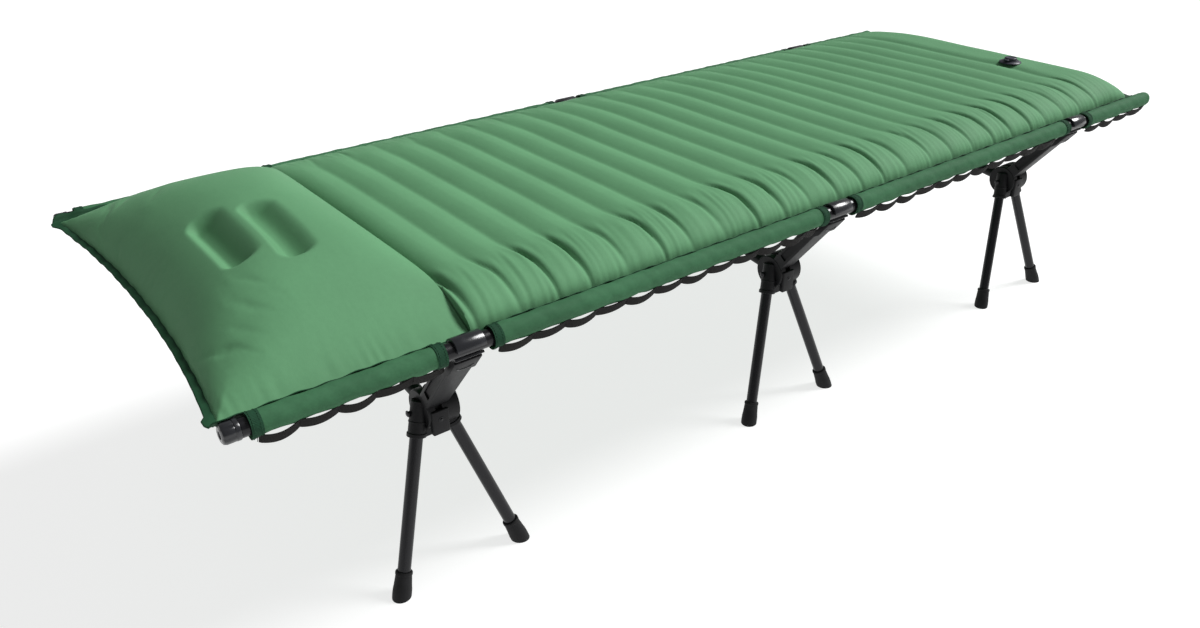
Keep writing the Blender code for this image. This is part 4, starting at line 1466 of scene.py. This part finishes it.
@dataclass
class LegSet:
    """A bow between two arms, each with a rail clip, and a folding hub with two legs on each side."""

    number: int
    clip_outer: float = 0.015
    clip_inner: float = 0.0114
    clip_half: float = 0.020
    clip_lip: float = 175.0
    arm_half_depth: float = 0.011
    arm_half_width: float = 0.016
    arm_flare: float = 0.22
    arm_step: float = 0.0035
    step_start: float = 0.030
    step_end: float = 0.040
    wire: float = 0.0010
    tongue: float = 0.005
    lug_radius: float = 0.028
    lug_half: float = 0.016
    bow_radius: float = 0.008
    bow_rise: float = math.radians(8)
    stub_radius: float = 0.010
    stub_reach: float = 0.062
    bow_start: float = 0.036
    pin_radius: float = 0.003
    pin_half: float = 0.0318
    meet_in: float = 0.121
    meet_z: float = 0.292
    foot_in: float = 0.058
    foot_along: float = 0.096
    leg_radius: float = 0.009
    leg_bore: float = 0.0078
    leg_top: float = 0.230
    leg_bottom: float = 0.014
    socket_radius: float = 0.012
    socket_mouth: float = 0.208
    socket_top: float = 0.254
    socket_rings: tuple[tuple[float, ...], ...] = ((-0.0004, 0.0052, 0.0013, 0.0006),
                                                   (0.0190, 0.0215, 0.0006, 0.0005))
    foot_height: float = 0.034
    hook_run: float = 0.040
    gap: float = 0.0003

    @property
    def station(self) -> float:
        """Where the leg set is along the cot."""
        return STATIONS[self.number - 1]

    @property
    def rail(self) -> Vector:
        """The rail's centre from the pivot, in the arm's frame."""
        return Vector((0.0, -PIVOT_IN, RAIL_Z - PIVOT_Z))

    def place(self, side: Side) -> Matrix:
        """From the near arm's frame, with its origin on the pivot, to the cot's frame."""
        turn = Matrix.Rotation(math.pi, 4, "Z") if side is Side.FAR else Matrix()
        return Matrix.Translation((self.station, side.value * (RAIL_Y - PIVOT_IN), PIVOT_Z)) @ turn

    def hook_bend(self, side: Side) -> Point:
        """Where the wire hook on an arm holds the webbing."""
        direction = -self.rail.normalized()
        spot = self.rail + direction * self.hook_run
        y = RAIL_Y - (spot.y + PIVOT_IN)
        return (self.station - self.arm_half_width * (1 + self.arm_flare) - 0.0028, side.value * (y + 0.007),
                PIVOT_Z + spot.z)

    def polar(self, reach: float, lift: float = 0.0) -> Point:
        """A point on the bow's line, in the arm's frame."""
        return (0.0, reach * math.cos(self.bow_rise) - lift * math.sin(self.bow_rise),
                reach * math.sin(self.bow_rise) + lift * math.cos(self.bow_rise))

    def arm(self) -> Mesh:
        """Moulded arm: bar, tongue and bow socket."""
        rail = self.rail
        angle = math.atan2(rail.z, rail.y)
        cos, sin = math.cos(angle), math.sin(angle)

        def lay(points: Outline) -> Outline:
            """From along and across the bar to Y and Z."""
            return [(s * cos - t * sin, s * sin + t * cos) for s, t in points]

        run = rail.length - self.clip_inner - 0.001
        depth = self.arm_half_depth
        thick = depth + self.arm_step
        body = [(0.0, -depth), (run, -depth), (run, thick), (run - self.step_start, thick),
                (run - self.step_end, depth), (0.0, depth)]
        bar = prism("bar", lay(body), self.arm_half_width, 0.0016)
        toward = rail.normalized()
        for vert in bar.vertices:
            climb = min(1.0, max(0.0, (vert.co.dot(toward) - 0.040) / 0.070))
            vert.co.x *= 1 + self.arm_flare * climb
        disc = rod("disc", (-2 * self.tongue, 0, 0), (2 * self.tongue, 0, 0), self.lug_radius / 2)
        stub = rod("stub", self.polar(0.006), self.polar(self.stub_reach), self.stub_radius, round_off=0.0008)
        collar = rod("collar", self.polar(self.stub_reach - 0.006), self.polar(self.stub_reach - 0.0005),
                     self.stub_radius + 0.0012, round_off=0.0006)
        cheek = self.lug_radius + 2 * self.gap
        cheeks = [rod("cheek", (sign * self.tongue, 0, 0), (sign * 0.03, 0, 0), cheek) for sign in (-1, 1)]
        bore = rod("bow_bore", self.polar(self.bow_start - 0.001), self.polar(self.stub_reach + 0.01),
                   self.bow_radius + self.gap)
        hole = rod("pin_hole", (-0.02, 0, 0), (0.02, 0, 0), self.pin_radius + self.gap, 24)
        pocket = lay([(0.044, -0.0062), (0.122, -0.0062), (0.126, -0.0020), (0.126, 0.0020), (0.122, 0.0062),
                      (0.044, 0.0062)])
        pockets = []
        for sign in (-1, 1):
            sunk = prism("pocket", pocket, 0.004, 0.0006)
            sunk.transform(Matrix.Translation((sign * (self.arm_half_width + 0.0024), 0, 0)))
            pockets.append(sunk)
        return carved("arm", bar, [disc, stub, collar], cheeks + [bore, hole] + pockets)

    def clip(self) -> Mesh:
        """The open ring that snaps over the rail."""
        rail = self.rail
        down = math.degrees(math.atan2(rail.z, rail.y)) - 180
        centre = (rail.y, rail.z)
        outer = arc(centre, self.clip_outer, self.clip_lip, down - 70, 40)
        inner = arc(centre, self.clip_inner, down - 70, self.clip_lip, 40)
        ring = prism("clip", outer + inner, self.clip_half, 0.0007)
        bead_at = rail + (-rail.normalized()) * (self.clip_outer + 0.014)
        across = Vector((0, -rail.normalized().z, rail.normalized().y))
        face = bead_at + across * (self.arm_half_depth + 0.0036) * (1 if across.y < 0 else -1)
        path = np.array([(0.0112 * math.cos(a), face.y - rail.normalized().y * 0.006 * math.sin(a),
                          face.z - rail.normalized().z * 0.006 * math.sin(a))
                         for a in np.linspace(0, math.pi, 15)])
        return gathered("clip", [ring, tube_along("bead", path, 0.0007, 10)])

    def leg_point(self, end: End, height: float) -> Vector:
        """A point of a near leg's centre line at a height above the floor, in the arm's frame."""
        share = (self.meet_z - height) / self.meet_z
        return Vector((end.value * self.foot_along * share,
                       self.meet_in + (self.foot_in - self.meet_in) * share - PIVOT_IN, height - PIVOT_Z))

    def hub(self) -> Mesh:
        """Two lugs about the pivot, two collared leg sockets, a web and a front shield."""
        disc = rod("lugs", (-self.lug_half, 0, 0), (self.lug_half, 0, 0), self.lug_radius, 56, 0.0014)
        parts = []
        for end in End:
            mouth, top = self.leg_point(end, self.socket_mouth), self.leg_point(end, self.socket_top)
            axis = (top - mouth).normalized()
            parts.append(rod("socket", mouth, top, self.socket_radius, round_off=0.0012))
            for low, high, proud, round_off in self.socket_rings:
                parts.append(rod("ring", mouth + axis * low, mouth + axis * high, self.socket_radius + proud,
                                 round_off=round_off))
        parts.append(rounded_box("web", (-0.017, -0.013, -0.037), (0.017, 0.0015, -0.022), 0.0012))
        parts.append(rounded_box("shield", (-0.0125, -0.0302, -0.0290), (0.0125, -0.0215, 0.0080), 0.0020))
        inside = self.tongue + self.gap
        slot = rod("slot", (-inside, 0, 0), (inside, 0, 0), self.lug_radius + 3 * self.gap, 56)
        bores = [rod("bore", self.leg_point(end, self.socket_mouth - 0.02),
                     self.leg_point(end, self.leg_top + 0.0005), self.leg_radius + self.gap) for end in End]
        hole = rod("pin_hole", (-0.05, 0, 0), (0.05, 0, 0), self.pin_radius + self.gap, 24)
        return carved("hub", disc, parts, [slot, hole] + bores)

    def rivets(self) -> Mesh:
        """A domed rivet in the shield and a washer ring round it."""
        dome = [(0, 0.0017), (0.0012, 0.0015), (0.0021, 0.0009), (0.0025, 0.0), (0, 0)]
        ring = [(0.0026, 0.0005), (0.0036, 0.0005), (0.0038, 0), (0.0026, 0)]
        place = along((0, -0.0302, -0.006), (0, -0.0402, -0.006))
        return gathered("rivet", [lathe("dome", dome, place, 24), lathe("washer", ring, place, 24)])

    def pin(self) -> Mesh:
        """The hinge pin with a domed head at each end."""
        half, head = self.pin_half, 0.0045
        side = [(0, half + 0.0025), (head * 0.6, half + 0.0023), (head, half + 0.0012), (head, half),
                (self.pin_radius, half)]
        profile = side + [(radius, -z) for radius, z in side[::-1]]
        return lathe("pin", profile, along((0, 0, 0), (1, 0, 0)), 32)

    def leg(self, end: End) -> Mesh:
        """A hollow leg tube."""
        bottom, top = self.leg_point(end, self.leg_bottom), self.leg_point(end, self.leg_top)
        length = (top - bottom).length
        outside, inside = self.leg_radius, self.leg_bore
        profile = [(outside, length), (outside, 0), (inside, 0), (inside, length)]
        return lathe("leg", profile, along(bottom, top))

    def foot(self, end: End) -> Mesh:
        """A ribbed rubber foot, cut level with the floor."""
        bottom, rim = self.leg_point(end, -0.01), self.leg_point(end, self.foot_height)
        length = (rim - bottom).length
        seat = (self.leg_point(end, self.leg_bottom) - bottom).length - self.gap
        bore = self.leg_radius + self.gap
        top = [(0, seat), (bore, seat), (bore, length), (0.0112, length), (0.0118, length - 0.0010),
               (0.0118, length - 0.0040), (0.0111, length - 0.0048), (0.0113, length - 0.0075)]
        swell = [(0.0122, length * 0.60), (0.0130, length * 0.46), (0.0131, length * 0.28)]
        profile = top + swell + [(0.0124, 0), (0, 0)]
        cup = lathe("foot", profile, along(bottom, rim))
        floor = rounded_box("floor", (-0.3, -0.3, -PIVOT_Z - 0.1), (0.3, 0.3, -PIVOT_Z), 0.0001)
        return carved("foot", cup, cut=[floor])

    def bow(self) -> Mesh:
        """The arched tube between the two arms."""
        first = self.polar(self.bow_start)
        start_y, start_z = -RAIL_Y + PIVOT_IN + first[1], PIVOT_Z + first[2]
        straight, slope = 0.03, math.tan(self.bow_rise)
        inner = -start_y - straight
        path = []
        for y in np.linspace(start_y, -start_y, 61):
            reach = min(abs(y), inner)
            z = start_z + slope * straight + slope * (inner - reach * reach / inner) / 2
            if abs(y) > inner:
                z = start_z + slope * (-start_y - abs(y))
            path.append((self.station, y, z))
        return tube_along("bow", np.array(path), self.bow_radius, 32)

    def hook(self, side: Side) -> Mesh:
        """The bent wire hook that holds the webbing's end against the arm."""
        bend = Vector(self.hook_bend(side))
        up = Vector((0, side.value * -self.rail.normalized().y, self.rail.normalized().z))
        inward = Vector((0, -side.value, 0))
        bends = ((0.030, 0.0032), (0.026, 0.0012), (0.014, 0.0), (0.003, 0.0), (-0.0022, -0.0008),
                 (-0.0024, -0.0030), (0.0010, -0.0052), (0.0060, -0.0064))
        stem = [bend + up * high + Vector((out, 0, 0)) for high, out in bends]
        stem[-1] += inward * 0.0005
        corners = np.array([tuple(p) for p in stem])
        path = np.concatenate([corners[:1]] + [
            corners[i] + (corners[i + 1] - corners[i]) * np.linspace(0, 1, 7)[1:, None]
            for i in range(len(corners) - 1)])
        smooth = path.copy()
        for _ in range(3):
            smooth[1:-1] = (smooth[:-2] + 2 * smooth[1:-1] + smooth[2:]) / 4
        return tube_along("hook", smooth, self.wire, 12)

    def build(self, finishes: Finishes) -> None:
        """Add the leg set's pieces."""
        n = self.number
        piece(f"cross_bow_{n}_tube", self.bow(), finishes.tube, "deck", [f"cross_bow_{n}"])
        arm, clip, hub, pin, rivets = self.arm(), self.clip(), self.hub(), self.pin(), self.rivets()
        legs = {end: self.leg(end) for end in End}
        feet = {end: self.foot(end) for end in End}
        for side in Side:
            place, tag, body = self.place(side), f"{side.label}_{n}", f"{side.label}_legs_{n}"
            piece(f"arm_{tag}_moulding", placed(arm, place), finishes.nylon, "deck",
                  [f"arm_{tag}"])
            piece(f"rail_clip_{tag}", placed(clip, place), finishes.clip, "deck")
            piece(f"webbing_hook_{tag}", self.hook(side), finishes.steel, "deck")
            piece(f"leg_hub_{tag}_moulding", placed(hub, place), finishes.nylon, body,
                  [f"leg_hub_{tag}"])
            piece(f"hub_pin_{tag}_turned", placed(pin, place), finishes.tube, body,
                  [f"hub_pin_{tag}"])
            piece(f"hub_rivet_{tag}", placed(rivets, place), finishes.tube, body)
            for end in End:
                local = end if side is Side.NEAR else End(-end.value)
                node = f"leg_{tag}_{end.label}"
                piece(f"{node}_tube", placed(legs[local], place), finishes.tube, body, [node])
                node = f"rubber_foot_{tag}_{end.label}"
                piece(f"{node}_moulding", placed(feet[local], place), finishes.rubber, body,
                      [node])


@dataclass
class Valve:
    """Air valve on the foot panel, with a hinged cap."""

    x: float = VALVE_X
    y: float = VALVE_Y
    radius: float = 0.022
    seat: float = 0.4364
    hinge_out: float = 0.0165
    half: float = 0.0011

    def body(self) -> Mesh:
        """The valve's body with a stepped rim."""
        radius = self.radius
        profile = [(0, 0.0058), (0.0118, 0.0058), (0.0124, 0.0060), (0.0140, 0.0060), (0.0146, 0.0054),
                   (0.0150, 0.0040), (radius - 0.0014, 0.0028), (radius, 0.0016), (radius, 0), (0, 0)]
        return lathe("valve_body", profile, Matrix.Translation((self.x, self.y, self.seat)), 64)

    def cap(self) -> Mesh:
        """The cap: a disc with a raised rim, a strap to the hinge and a thumb tab."""
        half, out = self.half, -self.hinge_out
        disc = [(0, 0.0026), (0.0086, 0.0026), (0.0092, 0.0034), (0.0110, 0.0034), (0.0122, 0.0024),
                (0.0125, 0.0010), (0.0125, -half), (0, -half)]
        top = lathe("disc", disc, Matrix.Translation((out, 0, 0)), 64)
        strap = rounded_box("strap", (-0.0080, -0.004, -half), (0.0012, 0.004, half), 0.0005)
        tab = rounded_box("tab", (-0.0360, -0.005, -half), (-0.0260, 0.005, half), 0.0007)
        mesh = carved("valve_cap", top, [strap, tab])
        mesh.transform(Matrix.Translation((self.x + self.hinge_out, self.y, self.seat + 0.0063 + half)))
        return mesh

    def build(self, finishes: Finishes) -> None:
        """Add the body and the cap."""
        piece("valve_body_turned", self.body(), finishes.valve, "deck", ["valve_body"])
        piece("valve_cap_moulding", self.cap(), finishes.valve, "valve_lid", ["valve_cap"])


# ---------------------------------------------------------------- studio


@dataclass
class Studio:
    """Pale floor, soft light and the camera."""

    eye: Point = (-1.15974, -1.25256, 0.97931)
    yaw: float = math.radians(52.122)
    pitch: float = math.radians(28.525)
    roll: float = math.radians(0.264)
    lens: float = 30.134
    key: float = 4.3
    fill: float = 0.22
    key_way: Point = (-0.70, 0.14, -0.70)
    key_angle: float = 24.0
    floor_half: float = 200.0
    floor_glow: float = 0.76

    def camera(self) -> None:
        """Place the camera."""
        level = math.cos(self.pitch)
        forward = Vector((math.cos(self.yaw) * level, math.sin(self.yaw) * level, -math.sin(self.pitch)))
        right = Vector((math.sin(self.yaw), -math.cos(self.yaw), 0))
        down = -right.cross(forward)
        across = right * math.cos(self.roll) + down * math.sin(self.roll)
        upward = across.cross(forward)
        data = bpy.data.cameras.new("camera")
        data.sensor_width = 36.0
        data.lens = self.lens
        camera = bpy.data.objects.new("camera", data)
        bpy.context.scene.collection.objects.link(camera)
        turn = Matrix((across, upward, -forward)).transposed().to_4x4()
        camera.matrix_world = Matrix.Translation(self.eye) @ turn
        bpy.context.scene.camera = camera

    def floor(self) -> None:
        """A wide pale floor."""
        bm = bmesh.new()
        bmesh.ops.create_grid(bm, x_segments=1, y_segments=1, size=self.floor_half)
        mesh = from_bmesh("floor", bm)
        graph = Graph("pale_floor")
        mesh.materials.append(graph.surface({
            "Base Color": (0.35, 0.35, 0.35, 1.0),
            "Roughness": 0.9,
            "Emission Color": (1.0, 1.0, 1.0, 1.0),
            "Emission Strength": self.floor_glow,
        }))
        helper(mesh)

    def sun(self) -> None:
        """One soft lamp."""
        data = bpy.data.lights.new("key", "SUN")
        data.energy = self.key
        data.angle = math.radians(self.key_angle)
        lamp = bpy.data.objects.new("key", data)
        bpy.context.scene.collection.objects.link(lamp)
        lamp.rotation_mode = "QUATERNION"
        lamp.rotation_quaternion = Vector(self.key_way).to_track_quat("-Z", "Y")

    def backdrop(self) -> None:
        """A world that looks white and shines more faintly."""
        world = bpy.data.worlds.new("studio")
        world.use_nodes = True
        tree = world.node_tree
        shade = tree.nodes["Background"]
        shade.inputs["Color"].default_value = (1.0, 1.0, 1.0, 1.0)
        seen = tree.nodes.new("ShaderNodeLightPath")
        strength = tree.nodes.new("ShaderNodeMapRange")
        strength.inputs["To Min"].default_value = self.fill
        tree.links.new(seen.outputs["Is Camera Ray"], strength.inputs["Value"])
        tree.links.new(strength.outputs["Result"], shade.inputs["Strength"])
        bpy.context.scene.world = world

    def build(self) -> None:
        """Add the floor, the light, the backdrop and the camera."""
        self.floor()
        self.sun()
        self.backdrop()
        bpy.context.scene.view_settings.view_transform = "Standard"
        self.camera()


def main() -> None:
    """Build the cot piece by piece."""
    logging.basicConfig(level=logging.INFO, format="%(name)s %(message)s")
    finishes = Finishes()
    Studio().build()
    Rails().build(finishes)
    Cover().build(finishes)
    Webbing().build(finishes)
    for number in range(1, len(STATIONS) + 1):
        LegSet(number).build(finishes)
    AirMattress().build(finishes)
    AirPillow().build(finishes)
    Valve().build(finishes)


if __name__ == "__main__":
    main()
